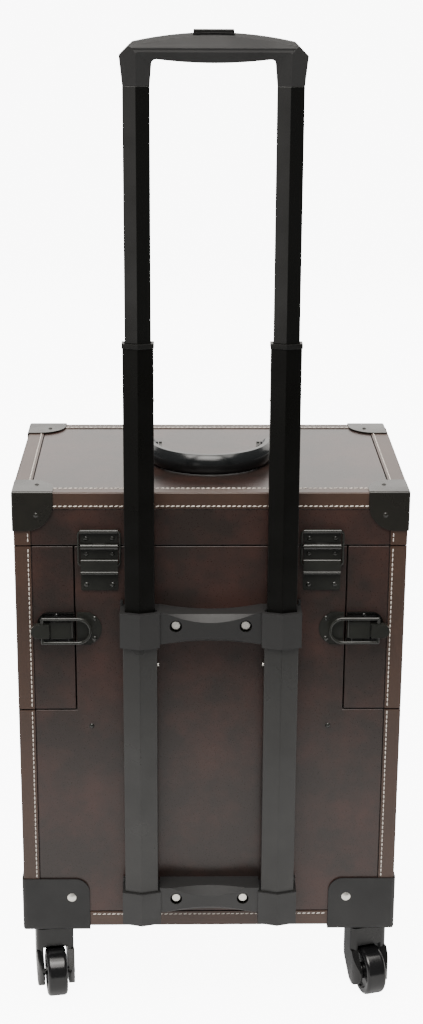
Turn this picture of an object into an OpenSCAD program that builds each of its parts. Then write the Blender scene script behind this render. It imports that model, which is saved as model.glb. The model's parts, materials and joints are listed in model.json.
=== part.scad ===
// Rolling makeup case seen from its trolley side.
// Leather-covered boards make a lower box with a tower, two side wings swing on front hinges,
// the lid sits on two stay hinges, and a two-stage trolley handle and four castors carry it.
// +Z is up from the floor, +X is to the right seen from behind, and the trolley is on the -Y side.

/* [Case] */
// Width over the edge bindings
case_w = 360; // [330:1:420]
// Depth over the edge bindings
case_d = 232; // [200:1:280]
// Height of the lower box, from its bottom edge to the seam under the wings
base_h = 231; // [200:1:260]
// Height of the wings, from the seam under them to the lid seam
wing_h = 163; // [140:1:190]
// Height of the lid above its seam
lid_h = 51; // [46:1:70]
// Width of each wing, from the case's edge to its upright seam
wing_w = 54.6; // [46:0.2:64]
// Open joint at the lid seam and the wing seams
seam_gap = 1.4; // [0.8:0.1:2.4]
// Thickness of the boards
board_t = 7; // [5:0.5:9]

/* [Covers and bindings] */
// Thickness of the leather on the boards
leather_t = 1.2; // [0.8:0.1:1.6]
// Width of an edge binding on each face
binding_w = 15.5; // [9:0.5:18]
// Thickness of an edge binding
binding_t = 1.8; // [1.7:0.1:2.4]
// Gap between a leather sheet and the binding beside it
cover_gap = 0.7; // [0.2:0.1:0.8]

/* [Corner pieces] */
// Reach of a lid corner cap along each edge
cap_w = 36.5; // [28:0.5:42]
// Radius of a lid cap's rounded corner
cap_r = 26; // [10:1:28]
// Thickness of a lid cap
cap_t = 1.2; // [0.8:0.1:2]
// Reach of a corner guard along the bottom edges
guard_w = 64; // [58:1:72]
// Height of a corner guard above the case's bottom edge
guard_h = 52; // [40:1:60]
// Radius of a corner guard's rounded corner
guard_r = 14; // [4:1:16]
// Radius of a guard's outer edges
guard_edge = 4.4; // [2:0.2:4.4]
// Thickness of a guard's upright plates
guard_t = 1.6; // [1:0.1:2.5]
// Thickness of a guard's bottom plate
guard_drop = 4.5; // [3:0.5:6]
// Diameter of the bright rivets
rivet_d = 9; // [6:0.5:10]
// Diameter of the rivets in the trolley brackets
bracket_rivet_d = 7.8; // [6:0.2:9]

/* [Trolley tubes] */
// Distance from the middle of the case to each tube's middle
tube_x = 65; // [58:1:72]
// Width of the fixed outer tubes
tube_w = 31.4; // [28:0.2:34]
// Depth of the fixed outer tubes, ridge included
tube_d = 18.5; // [16:0.5:22]
// Height of the ridge down a tube's rear face
ridge_h = 4.5; // [2:0.5:6]
// Gap between the case's rear face and the outer tubes
tube_standoff = 8; // [6:0.5:12]
// Wall of every tube
tube_wall = 1.4; // [1:0.1:1.8]
// Play between one tube and the next
tube_play = 0.7; // [0.6:0.1:0.8]
// Sliding clearance of the guides and bushes
slide_gap = 0.3; // [0.25:0.05:0.4]
// Length of middle tube that shows above the upper bracket
middle_show = 246; // [200:1:248]
// Length of upper tube that shows above the collar
upper_show = 219.5; // [170:0.5:222]
// Length of middle tube inside the outer tube
middle_inside = 55; // [45:1:70]
// Length of upper tube inside the middle tube
upper_inside = 50; // [40:1:70]
// Height of the collar on each middle tube
collar_h = 4.5; // [3:0.5:8]
// Height of the bushes on the tubes' lower ends
bush_h = 11; // [8:0.5:14]

/* [Trolley brackets] */
// Height of the bracket sockets
socket_h = 34; // [28:1:40]
// Wall of the bracket sockets
socket_wall = 2.6; // [2:0.1:3.5]
// Gap between the bottom binding and the lower sockets
lower_socket_gap = 0.5; // [0.5:0.5:10]
// Depth of the upper sockets' lower ends below the lid seam
upper_socket_drop = 91; // [74:1:120]
// Height of the guide lip at the top of an upper socket
lip_h = 3; // [2:0.5:5]
// Depth of the crosspieces from the case's rear face
cross_d = 22; // [16:0.5:25]
// Height of the upper crosspiece
upper_cross_h = 32; // [28:0.5:34]
// Height of the lower crosspiece
lower_cross_h = 26; // [24:0.5:32]
// Distance from the middle to each bracket rivet
bracket_rivet_x = 32; // [24:1:36]

/* [Grip] */
// Half width of the grip at its shoulders
grip_half_w = 79; // [72:1:86]
// Height of the grip from its lower ends to its top
grip_h = 43.6; // [38:0.2:52]
// Height of the grip bar at its middle
grip_bar_h = 24.6; // [23:0.2:28]
// Rise of the hand opening from its middle to its ends
grip_rise = 3; // [0:0.2:4]
// Depth of the grip bar
grip_d = 22; // [18:0.5:26]
// Length of the spigots that the upper tubes fit over
spigot_h = 20; // [12:1:26]
// Width of the release button
button_w = 34; // [26:1:40]
// Depth of the release button
button_d = 6; // [4:0.5:7]
// Height of the release button above the grip's top
button_rise = 2.6; // [1.5:0.1:4]
// Travel of the release button
button_travel = 2.4; // [1:0.1:2.5]
// Diameter of the push rods inside the tubes
rod_d = 4; // [3:0.1:4.2]

/* [Stay hinges] */
// Distance from the middle of the case to each stay hinge
hinge_x = 102; // [98:1:104]
// Width of a hinge leaf
leaf_w = 34; // [26:1:35]
// Thickness of the leaves and latch plates
plate_t = 1.2; // [1:0.1:1.6]
// Outer diameter of the hinge knuckle
knuckle_d = 5.6; // [5:0.2:6.4]
// Diameter of the hinge pins
pin_d = 2.6; // [2:0.1:3]
// Running clearance between a pin and its knuckles
pin_fit = 0.06; // [0.02:0.01:0.1]
// Diameter of the stay wires
wire_d = 2; // [1.6:0.1:2.2]
// Outer width of a stay wire
stay_w = 40; // [38:0.5:42]
// Height of the stay wire's upper leg above the hinge pin
stay_up = 14.5; // [12:0.5:18]
// Depth of the stay wire's lower leg below the hinge pin
stay_down = 18; // [16:0.5:21]
// Length of the fixed leaf below the hinge pin
leaf_down = 43; // [38:0.5:50]

/* [Wing latches] */
// Height of the latch's middle above the seam under the wing
latch_z = 82; // [60:1:100]
// Length of the lever from its pin to its tip
lever_len = 36.5; // [33:0.5:38]
// Length of the lever's raised block from its pin
lever_block = 18.5; // [16:0.5:20]
// Width of the lever
lever_w = 16.6; // [14:0.2:17]
// Distance from the lever's pin to the bail's ends
bail_pivot = 26; // [22:0.5:27]
// Length of the bail from its ends to its round end
bail_len = 46; // [42:0.5:47]
// Outer width of the bail
bail_w = 26.6; // [23.6:0.2:27]
// Diameter of the bail's wire
bail_d = 3; // [2.4:0.1:3.2]
// Reach of the catch plate from the upright seam
catch_w = 24; // [22:0.5:28]
// Height of the catch plate and of the latch's base
catch_h = 32; // [28:0.5:36]

/* [Wing hinges and lid hasps] */
// Length of a wing hinge
wing_hinge_len = 36; // [26:1:44]
// Distance of the wing hinges from the ends of the upright seam
wing_hinge_end = 36; // [28:1:46]
// Distance from the middle of the case to each lid hasp
hasp_x = 80; // [60:1:100]
// Width of a lid hasp
hasp_w = 26; // [20:1:34]
// Height of the hasp's pin above the lid seam
hasp_up = 15; // [12:0.5:20]
// Length of a hasp below its pin
hasp_len = 38; // [32:1:46]

/* [Carry handle] */
// Radius of the carry handle's bow, at the middle of its section
bow_r = 56; // [48:1:64]
// Width of the bow's section
bow_w = 14; // [11:0.5:15]
// Height of the bow's section
bow_h = 19.5; // [14:0.5:20]
// Height of the handle's pins above the lid
bow_z = 10.4; // [10.4:0.2:13]
// Distance of the handle's pins from the case's rear face
bow_y = 112; // [100:1:130]
// Diameter of the handle's pins
bow_pin_d = 5; // [4:0.5:6]

/* [Castors] */
// Height from the floor to the case's bottom edge
castor_h = 78; // [74:1:84]
// Diameter of the wheels
wheel_d = 48; // [42:1:50]
// Width of the wheels
wheel_w = 19.5; // [16:0.5:21]
// Distance of the swivel pins from the case's faces
castor_inset = 26; // [24:0.5:30]
// Distance from the swivel pin to the axle
trail = 20; // [14:1:22]
// Diameter of the fork's neck
neck_d = 37; // [35:0.5:40]
// Diameter of the swivel pins
kingpin_d = 8; // [6:0.5:10]
// Diameter of the axles
axle_d = 6; // [5:0.5:8]
// Turn of the left castors about their swivel pins
left_castor_turn = 9; // [-40:1:40]
// Turn of the right castors about their swivel pins
right_castor_turn = 16; // [-40:1:40]

/* [Hidden] */
$fn = 48;

leather_colour = "#3f3532";
binding_colour = "#5e4a41";
board_colour = "#2a2625";
charcoal = "#454545";
black_enamel = "#222222";
nickel = "#d6d6ce";
tyre_grey = "#3a3a3a";

// Heights from the floor
box_z = castor_h;
wing_z = box_z + base_h;
seam_z = wing_z + wing_h;
top_z = seam_z + lid_h;
half_gap = seam_gap / 2;

// Lifts that several pieces share
// How far the bindings stand proud of the leather
proud = binding_t - leather_t;
hinge_lift = knuckle_d / 2;
facet_m = ridge_h / (tube_w / 2);
facet_k = sqrt(1 + facet_m * facet_m);

// Faces seen from above, with the whole object centred on the origin
half_w = case_w / 2;
tower_x = half_w - wing_w;
socket_reach = tube_standoff + tube_d + socket_wall * facet_k;
hasp_reach = 2 * hinge_lift - proud;
rear_y = (socket_reach - hasp_reach - case_d) / 2;
front_y = rear_y + case_d;
board_x = half_w - binding_t;
board_y0 = rear_y + binding_t;
board_y1 = front_y - binding_t;
inner_x = board_x - board_t;
inner_y0 = board_y0 + board_t;
inner_y1 = board_y1 - board_t;
sheet_x = half_w - binding_w - cover_gap;
sheet_y0 = rear_y + binding_w + cover_gap;
sheet_y1 = front_y - binding_w - cover_gap;
tower_edge = tower_x - half_gap;
wing_edge = tower_x + half_gap;

// Tubes: the rear face of the section is two facets that meet in a ridge
tube_step = tube_wall + tube_play;
lower_z = box_z + binding_w + lower_socket_gap;
upper_z = seam_z - upper_socket_drop;
socket_x = tube_w / 2 + socket_wall;
socket_base = 4;
seat_fit = 0.05;
fork_web_gap = 1.5;
well_depth = 5.5;
well_gap = 3.6;
rivet_sunk = 2.4;
outer_z0 = lower_z + socket_base;
outer_z1 = upper_z + socket_h - lip_h;
lip_z = upper_z + socket_h;
collar_z = lip_z + middle_show;
middle_z0 = lip_z - middle_inside;
upper_z0 = collar_z - upper_inside;
grip_z = collar_z + collar_h + upper_show;
tube_mid_y = -tube_standoff - tube_d / 2;
stud_d = 3.2;
stud_rise = 1.5;
middle_stud_rise = tube_play - 0.15;
lock_stud_drop = 47;
stop_stud_drop = 20;

// Grip, button and push rods
grip_top = grip_z + grip_h;
facet_out = -tube_standoff - tube_d + 2 * tube_step * facet_k;
rod_back = tube_standoff + 2 * tube_step + tube_wall;
rod_front = tube_standoff + tube_d - (2 * tube_step + tube_wall) * facet_k;
grip_y = rear_y - (rod_back + rod_front) / 2;
leg_half = tube_w / 2 - 2 * tube_step;
grip_ridge_z = grip_z + 29.7;
leg_lean = atan((rear_y + facet_out - grip_y + grip_d / 2) / (grip_ridge_z - grip_z));
link_h = 5;
channel_gap = 1.2;
channel_floor = 2.4;
link_z = grip_top - grip_bar_h + grip_rise + channel_floor + channel_gap + button_travel;
rod_tip = upper_z0 - bush_h - 1;

// Hinges, latches and hasps
roll_d = wire_d + 2 * 0.9;
wire_gap = 0.35;
stay_lift = plate_t + wire_gap + wire_d / 2;
bridge_t = 1;
bridge_z0 = -leaf_down + 16.5;
bridge_z1 = -stay_down + 5.5;
bridge_fold = -stay_down - wire_d / 2 - 1.6;
rib_d = 3;
rib_rise = 0.6;
latch_mid = wing_z + latch_z;
lever_pin_x = wing_edge + hinge_lift + 0.4;
bail_lift = knuckle_d + 0.4 + bail_d / 2;
lever_t = 2;
hump_r = 8.2;
tab_w = 13.4;
tab_top = bail_lift + bail_d / 2 + 1;
block_top = knuckle_d + 0.8;
latch_edge = 5;
latch_r = 11;
wing_pin_y = front_y - proud + hinge_lift;
wing_leaf_reach = 17;
leaf_gap = 0.3;
hasp_z = seam_z + hasp_up;
hasp_plate_h = 14;
hasp_rivet_x = hasp_w / 2 - 5;
hasp_bar_d = 3;
strike_h = knuckle_d - hasp_bar_d - plate_t - 0.3;
rivet_head_d = 4.6;
rivet_head_h = 1.1;

// Castors
axle_z = wheel_d / 2;
fork_top = castor_h - guard_drop - 0.3;
neck_z = wheel_d + 4;
neck_r = 6;
fork_gap = 2.2;
arm_end_r = 13;
boss_h = 22;
boss_d = kingpin_d + 14;
castor_x = half_w - castor_inset;
castor_y0 = rear_y + castor_inset;
castor_y1 = front_y - castor_inset;
ear_t = 3;
ear_d = 13;
bow_in = bow_r - bow_w / 2;
// How far the bow curves in beside its ears
bow_drift = bow_in - sqrt(bow_in * bow_in - ear_d * ear_d / 4);
bow_face = bow_w + 2 * (bow_drift + leaf_gap);
bow_plate_l = ear_d + 2;
bow_foot_drift = bow_in - sqrt(bow_in * bow_in - bow_plate_l * bow_plate_l / 4);
bow_plate_t = 1.2;
bow_plate_edge = 3;

// Shapes that repeat

function arc(cx, cy, r, a0, a1, steps) =
    [for (i = [0 : steps]) [cx + r * cos(a0 + (a1 - a0) * i / steps),
                            cy + r * sin(a0 + (a1 - a0) * i / steps)]];

// Rear face of the tube section at x from its middle, moved inwards by inset
function facet_y(x, inset) = -tube_standoff - tube_d + inset * facet_k + facet_m * abs(x);

module both_sides() {
    children();
    mirror([1, 0, 0]) children();
}

// Draws the left-hand shape on the left (-1) or mirrored on the right (1)
module sided(side) {
    if (side < 0) children();
    else mirror([1, 0, 0]) children();
}

module block(x0, x1, y0, y1, z0, z1) {
    translate([x0, y0, z0]) cube([x1 - x0, y1 - y0, z1 - z0]);
}

// Frame on the rear leather: x to the right, y up and z outwards
module on_rear(x, z) {
    translate([x, rear_y + proud, z]) rotate([90, 0, 0]) children();
}

// Frame on the front leather: x to the left of the case, y up and z outwards
module on_front(x, z) {
    translate([x, front_y - proud, z]) rotate([90, 0, 180]) children();
}

// Rectangle from the origin whose far corner is round
module rounded_corner(w, h, r) {
    polygon(concat([[0, 0], [w, 0]], arc(w - r, h - r, r, 0, 90, 12), [[0, h]]));
}

// Rounded plate centred on x, lying on the frame's face
module plate(x0, x1, y0, y1, t, r = 1.5) {
    linear_extrude(t) polygon(concat(arc(x1 - r, y1 - r, r, 0, 90, 5), arc(x0 + r, y1 - r, r, 90, 180, 5),
        arc(x0 + r, y0 + r, r, 180, 270, 5), arc(x1 - r, y0 + r, r, 270, 360, 5)));
}

// Domed rivet head standing on z = 0
module rivet_head(d, h) {
    ball_r = (d * d / 4 + h * h) / (2 * h);
    intersection() {
        translate([0, 0, h - ball_r]) sphere(ball_r);
        cylinder(d = d + 1, h = h + 1);
    }
}

module tube_section(inset) {
    x = tube_w / 2 - inset;
    back = -tube_standoff - inset;
    polygon([[-x, back], [x, back], [x, facet_y(x, inset)], [0, facet_y(0, inset)], [-x, facet_y(x, inset)]]);
}

// One length of tube section at a tube's place
module tube_length(inset, z0, z1) {
    translate([-tube_x, rear_y, z0]) linear_extrude(z1 - z0) tube_section(inset);
}

module hollow_tube(inset, z0, z1) {
    difference() {
        tube_length(inset, z0, z1);
        tube_length(inset + tube_wall, z0 - 1, z1 + 1);
    }
}

// Upright L-shaped binding on the left rear edge
module upright_binding(z0, z1) {
    block(-half_w, -half_w + binding_w, rear_y, rear_y + binding_t, z0, z1);
    block(-half_w, -half_w + binding_t, rear_y + binding_t, rear_y + binding_w, z0, z1);
}

// Repeats the rear shape on the front
module rear_and_front() {
    children();
    translate([0, rear_y + front_y, 0]) mirror([0, 1, 0]) children();
}

// Boards of the lower box and tower

module wall_outline() {
    polygon([[-board_x, box_z + binding_t], [board_x, box_z + binding_t],
        [board_x, wing_z - half_gap], [tower_edge, wing_z - half_gap],
        [tower_edge, seam_z - half_gap], [-tower_edge, seam_z - half_gap],
        [-tower_edge, wing_z - half_gap], [-board_x, wing_z - half_gap]]);
}

module base_rear_panel() {
    color(board_colour) translate([0, inner_y0, 0]) rotate([90, 0, 0]) linear_extrude(board_t) wall_outline();
}

module base_front_panel() {
    color(board_colour) translate([0, board_y1, 0]) rotate([90, 0, 0]) linear_extrude(board_t) wall_outline();
}

module base_side_panels() {
    color(board_colour) both_sides()
        block(-board_x, -inner_x, inner_y0, inner_y1, box_z + binding_t, wing_z - half_gap);
}

module base_floor() {
    notch = guard_w + 1;
    color(board_colour) difference() {
        block(-inner_x, inner_x, inner_y0, inner_y1, box_z + binding_t, box_z + binding_t + board_t);
        both_sides() rear_and_front()
            block(-half_w, -half_w + notch, rear_y, rear_y + notch, box_z, box_z + 2 * board_t);
    }
}

module tower_walls() {
    color(board_colour) both_sides() {
        block(-tower_edge, -tower_edge + board_t, inner_y0, inner_y1, wing_z - half_gap, seam_z - half_gap);
        block(-inner_x, -tower_edge + board_t, inner_y0, inner_y1, wing_z - half_gap - board_t, wing_z - half_gap);
    }
}

module leather_outline() {
    lower_top = wing_z - half_gap;
    tower_top = seam_z - half_gap;
    bottom = box_z + binding_w + cover_gap;
    polygon([[-sheet_x, bottom], [sheet_x, bottom], [sheet_x, lower_top], [tower_edge, lower_top],
        [tower_edge, tower_top], [-tower_edge, tower_top], [-tower_edge, lower_top], [-sheet_x, lower_top]]);
}

module base_leather() {
    color(leather_colour) {
        rear_and_front() translate([0, board_y0, 0]) rotate([90, 0, 0]) linear_extrude(leather_t) leather_outline();
        both_sides() block(-board_x - leather_t, -board_x, sheet_y0, sheet_y1,
            box_z + binding_w + cover_gap, wing_z - half_gap);
    }
}

module base_edge_binding() {
    end_x = half_w - guard_w;
    end_y = guard_w;
    leg = binding_t + board_t - 0.5;
    color(binding_colour) {
        both_sides() rear_and_front() upright_binding(box_z, wing_z - half_gap);
        rear_and_front() {
            block(-end_x, end_x, rear_y, rear_y + binding_t, box_z, box_z + binding_w);
            block(-end_x, end_x, rear_y + binding_t, rear_y + leg, box_z, box_z + binding_t);
        }
        both_sides() {
            block(-half_w, -half_w + binding_t, rear_y + end_y, front_y - end_y, box_z, box_z + binding_w);
            block(-half_w + binding_t, -half_w + leg, rear_y + end_y, front_y - end_y, box_z, box_z + binding_t);
        }
    }
}

// Square with its corner at the origin rounded
module eased_square(w, r) {
    translate([r, 0]) square([w - r, w]);
    translate([0, r]) square([w, w - r]);
    translate([r, r]) circle(r);
}

// Left rear corner guard with the boss for its castor's swivel pin
module corner_guard() {
    w = guard_w + guard_t;
    h = guard_h + guard_drop;
    reach = 2 * w;
    translate([-half_w, rear_y, box_z]) difference() {
        union() {
            intersection() {
                union() {
                    translate([-guard_t, -guard_t, -guard_drop]) linear_extrude(guard_drop)
                        rounded_corner(w, w, guard_r);
                    translate([-guard_t, 0, -guard_drop]) rotate([90, 0, 0])
                        linear_extrude(guard_t) rounded_corner(w, h, guard_r);
                    translate([-guard_t, -guard_t, -guard_drop]) rotate([90, 0, 90])
                        linear_extrude(guard_t) rounded_corner(w, h, guard_r);
                }
                translate([-guard_t, -guard_t, -guard_drop]) linear_extrude(reach) eased_square(reach, guard_edge);
                translate([-guard_t, reach, -guard_drop]) rotate([90, 0, 0])
                    linear_extrude(2 * reach) eased_square(reach, guard_edge);
                translate([-reach, -guard_t, -guard_drop]) rotate([90, 0, 90])
                    linear_extrude(2 * reach) eased_square(reach, guard_edge);
            }
            translate([castor_inset, castor_inset, 0]) cylinder(d = boss_d, h = boss_h);
        }
        translate([castor_inset, castor_inset, -guard_drop - 1])
            cylinder(d = kingpin_d + 2 * pin_fit, h = boss_h + guard_drop + 2);
    }
}

module corner_guards() {
    color(charcoal) both_sides() rear_and_front() corner_guard();
}

module bright_rivets() {
    guard_rivet_x = half_w - guard_w + 17.5;
    guard_rivet_z = box_z + guard_h - 19.8;
    upper_rivet_z = upper_z + socket_h - 13.5;
    lower_rivet_z = lower_z + 26;
    stud_x = tube_x - tube_w / 2;
    color(nickel) {
        both_sides() rear_and_front() {
            translate([-guard_rivet_x, rear_y - guard_t, guard_rivet_z])
                rotate([90, 0, 0]) rivet_head(rivet_d, rivet_head_h);
            translate([-half_w - guard_t, rear_y + half_w - guard_rivet_x, guard_rivet_z])
                rotate([0, -90, 0]) rivet_head(rivet_d, rivet_head_h);
        }
        both_sides() for (z = [upper_rivet_z, lower_rivet_z])
            translate([-bracket_rivet_x, rear_y - cross_d + well_depth, z]) rotate([90, 0, 0])
                cylinder(d = bracket_rivet_d, h = well_depth - rivet_sunk);
        both_sides() translate([-stud_x, rear_y + tube_mid_y, middle_z0 + 2])
            rotate([0, 90, 0]) cylinder(d = stud_d, h = stud_rise);
    }
}

// Trolley

module outer_tubes() {
    color(charcoal) both_sides() hollow_tube(0, outer_z0, outer_z1);
}

// Crosspiece between the sockets, hollowed above and below by slanting round scoops, its top sagging
module crosspiece(z0, z1, sag, top_dip, top_slope, low_dip, low_slope) {
    half = tube_x - socket_x + 1;
    difference() {
        block(-half, half, rear_y - cross_d, rear_y + proud, z0, z1);
        if (sag > 0) translate([0, 0, z1 - sag]) scoop(half + 3, sag, 0);
        translate([0, 0, z1 - top_dip]) scoop(half, top_dip, top_slope);
        translate([0, 0, z0 + low_dip]) mirror([0, 0, 1]) scoop(half, low_dip, low_slope);
    }
}

module scoop(half, dip, slope) {
    r = (half * half + dip * dip) / (2 * dip);
    reach = 60;
    translate([0, rear_y - cross_d, 0]) rotate([slope - 90, 0, 0])
        translate([0, -r, -reach]) cylinder(r = r, h = 2 * reach, $fn = 96);
}

// Left socket block, open at the case's side
module socket_block(z) {
    translate([-tube_x, rear_y, z]) linear_extrude(socket_h) polygon([[-socket_x, proud], [socket_x, proud],
        [socket_x, facet_y(socket_x, -socket_wall)], [0, facet_y(0, -socket_wall)],
        [-socket_x, facet_y(socket_x, -socket_wall)]]);
}

// Small locating tab beside a tube, on top of its socket
module socket_tab(z) {
    block(-tube_x - socket_x, -tube_x - socket_x + 2.2, rear_y - 4, rear_y + proud, z, z + 4.5);
}

// Wells around the bracket rivets
module rivet_wells(z) {
    both_sides() translate([-bracket_rivet_x, rear_y - cross_d + well_depth, z]) rotate([90, 0, 0])
        cylinder(d = bracket_rivet_d + well_gap, h = cross_d);
}

module upper_bracket() {
    stud_room = stud_d + 1.2;
    color(charcoal) difference() {
        union() {
            both_sides() socket_block(upper_z);
            both_sides() socket_tab(lip_z);
            crosspiece(lip_z + 1 - upper_cross_h, lip_z + 1, 5.6, 11, 32, 5, 30);
        }
        both_sides() tube_length(-seat_fit, upper_z - 1, outer_z1);
        both_sides() tube_length(tube_step - slide_gap, outer_z1 - 1, lip_z + 6);
        both_sides() block(-tube_x, -tube_x + tube_w / 2, rear_y + tube_mid_y - stud_room / 2,
            rear_y + tube_mid_y + stud_room / 2, outer_z1 - 1, lip_z + 6);
        rivet_wells(lip_z - 13.5);
    }
}

module lower_bracket() {
    color(charcoal) difference() {
        union() {
            both_sides() socket_block(lower_z);
            both_sides() socket_tab(lower_z + socket_h);
            crosspiece(lower_z + 11.6, lower_z + 11.6 + lower_cross_h, 0, 8.6, 56, 6, 40);
        }
        both_sides() tube_length(-seat_fit, outer_z0, lower_z + socket_h + 6);
        rivet_wells(lower_z + 26);
    }
}

module middle_tubes() {
    color(black_enamel) both_sides() hollow_tube(tube_step, middle_z0, collar_z);
}

module middle_collars() {
    color(black_enamel) both_sides() difference() {
        tube_length(tube_step - 0.6, collar_z, collar_z + collar_h);
        tube_length(2 * tube_step - slide_gap, collar_z - 1, collar_z + collar_h + 1);
    }
}

module middle_bushes() {
    color(black_enamel) both_sides() tube_length(tube_wall + slide_gap, middle_z0 - bush_h, middle_z0);
}

module middle_studs() {
    x = tube_x - tube_w / 2 + tube_step;
    color(nickel) both_sides() {
        translate([-x, rear_y + tube_mid_y, collar_z - lock_stud_drop])
            rotate([0, 90, 0]) cylinder(d = stud_d, h = middle_stud_rise);
        translate([-x, rear_y + tube_mid_y, collar_z - stop_stud_drop])
            rotate([0, 90, 0]) cylinder(d = stud_d / 2, h = middle_stud_rise);
    }
}

module upper_tubes() {
    color(black_enamel) both_sides() hollow_tube(2 * tube_step, upper_z0, grip_z);
}

module upper_bushes() {
    color(black_enamel) both_sides() difference() {
        tube_length(tube_step + tube_wall + slide_gap, upper_z0 - bush_h, upper_z0);
        translate([-tube_x, grip_y, upper_z0 - bush_h - 1]) cylinder(d = rod_d + 2 * slide_gap, h = bush_h + 2);
    }
}

// Outline of the grip seen from behind
module grip_outline() {
    leg_out = tube_x + leg_half;
    leg_in = tube_x - leg_half;
    bar_z = grip_h - grip_bar_h;
    shoulder = [grip_half_w - 11, grip_h - 7.6];
    crown_r = (shoulder[0] * shoulder[0] + 7.6 * 7.6) / (2 * 7.6);
    crown_a = asin(shoulder[0] / crown_r);
    inner_r = 4;
    sag_half = leg_in - 1.6 - inner_r - 1;
    sag_r = (sag_half * sag_half + grip_rise * grip_rise) / (2 * grip_rise + 0.001);
    sag_a = asin(sag_half / sag_r);
    polygon(concat([[-leg_out, 0], [-grip_half_w, grip_h - 18.6]],
        arc(0, grip_h - crown_r, crown_r, 90 + crown_a, 90 - crown_a, 16),
        [[grip_half_w, grip_h - 18.6], [leg_out, 0], [leg_in, 0]],
        arc(leg_in - 1.6 - inner_r, bar_z + grip_rise - inner_r, inner_r, 0, 90, 6),
        arc(0, bar_z + sag_r, sag_r, 270 + sag_a, 270 - sag_a, 12),
        arc(-leg_in + 1.6 + inner_r, bar_z + grip_rise - inner_r, inner_r, 90, 180, 6), [[-leg_in, 0]]));
}

// Left leg's frame: y = 0 on the ridge, which leans out from the tube's ridge to the bar's
module at_leg() {
    translate([-tube_x, rear_y + facet_y(0, 2 * tube_step), grip_z]) rotate([leg_lean, 0, 0]) children();
}

// All that lies behind the left leg's outer facet
module behind_leg() {
    reach = 3 * grip_half_w;
    at_leg() translate([0, 0, -grip_h]) linear_extrude(3 * grip_h) polygon([[-reach, facet_m * reach],
        [reach, -facet_m * reach], [reach, reach], [-reach, reach]]);
}

module grip_bar() {
    intersection() {
        translate([0, rear_y, grip_z]) rotate([90, 0, 0]) linear_extrude(60) grip_outline();
        rotate([90, 0, 90]) translate([0, 0, -grip_half_w - 1]) linear_extrude(2 * grip_half_w + 2)
            polygon([[grip_y - 4, grip_top - grip_bar_h - 4], [grip_y - grip_d / 2, grip_ridge_z],
                [grip_y - 5.5, grip_top + 1], [grip_y + 5.5, grip_top + 1], [grip_y + grip_d / 2, grip_ridge_z],
                [grip_y + 4, grip_top - grip_bar_h - 4]]);
        behind_leg();
        mirror([1, 0, 0]) behind_leg();
    }
}

module grip_leg() {
    w = leg_half + 4;
    back = tube_standoff + 2 * tube_step;
    slope = (grip_d / 2 - 5.5) / (grip_top + 1 - grip_ridge_z);
    intersection() {
        translate([0, rear_y - back, grip_z]) rotate([90, 0, 0]) linear_extrude(60) grip_outline();
        at_leg() translate([0, 0, -grip_h]) linear_extrude(3 * grip_h) polygon([[-w, 60], [w, 60],
            [w, facet_m * w], [0, 0], [-w, facet_m * w]]);
        rotate([90, 0, 90]) translate([0, 0, -grip_half_w - 1]) linear_extrude(2 * grip_half_w + 2)
            polygon([[grip_y - grip_d / 2 - slope * grip_h, grip_ridge_z - grip_h], [grip_y - 5.5, grip_top + 1],
                [rear_y, grip_top + 1], [rear_y, grip_ridge_z - grip_h]]);
    }
}

module grip() {
    color(charcoal) difference() {
        union() {
            grip_bar();
            both_sides() grip_leg();
            both_sides() tube_length(2 * tube_step + tube_wall + seat_fit, grip_z - spigot_h, grip_z + 1);
        }
        block(-tube_x - rod_d / 2 - channel_gap, tube_x + rod_d / 2 + channel_gap,
            grip_y - rod_d / 2 - channel_gap, grip_y + rod_d / 2 + channel_gap,
            link_z - button_travel - channel_gap, link_z + link_h + slide_gap);
        both_sides() translate([-tube_x, grip_y, grip_z - spigot_h - 1])
            cylinder(d = rod_d + 2 * slide_gap, h = link_z - grip_z + spigot_h);
        block(-button_w / 2 - slide_gap, button_w / 2 + slide_gap, grip_y - button_d / 2 - slide_gap,
            grip_y + button_d / 2 + slide_gap, link_z, grip_top + 2);
    }
}

module release_button() {
    color(black_enamel) block(-button_w / 2, button_w / 2, grip_y - button_d / 2, grip_y + button_d / 2,
        link_z + link_h, grip_top + button_rise);
}

module push_rods() {
    color(nickel) {
        block(-tube_x - rod_d / 2, tube_x + rod_d / 2, grip_y - rod_d / 2, grip_y + rod_d / 2, link_z, link_z + link_h);
        both_sides() translate([-tube_x, grip_y, rod_tip]) cylinder(d = rod_d, h = link_z - rod_tip);
    }
}

// Stay hinges, drawn at the left hinge with its pin at the origin of the rear frame

module at_stay_hinge() {
    both_sides() on_rear(-hinge_x, seam_z) children();
}

// Part of a knuckle around the pin, with its bore
module knuckle(x0, x1) {
    translate([x0, 0, hinge_lift]) rotate([0, 90, 0]) difference() {
        cylinder(d = knuckle_d, h = x1 - x0);
        translate([0, 0, -1]) cylinder(d = pin_d + 2 * pin_fit, h = x1 - x0 + 2);
    }
}

module leaf_rivets(y) {
    for (x = [-12, 12]) translate([x * leaf_w / 34, y, plate_t]) rivet_head(rivet_head_d, rivet_head_h);
}

// Side outline of the bridge over the stay wire
module bridge_outline() {
    top = plate_t + wire_d + 2 * wire_gap + bridge_t;
    polygon([[bridge_z0, plate_t - 0.2], [bridge_z1 - roll_d / 2, plate_t - 0.2], [bridge_z1 - roll_d / 2, top],
        [bridge_z0 + rib_d / 2, top], [bridge_z0, top - rib_d / 2]]);
    translate([bridge_z0 + rib_d / 2, top - rib_d / 2 + rib_rise]) circle(d = rib_d);
}

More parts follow.
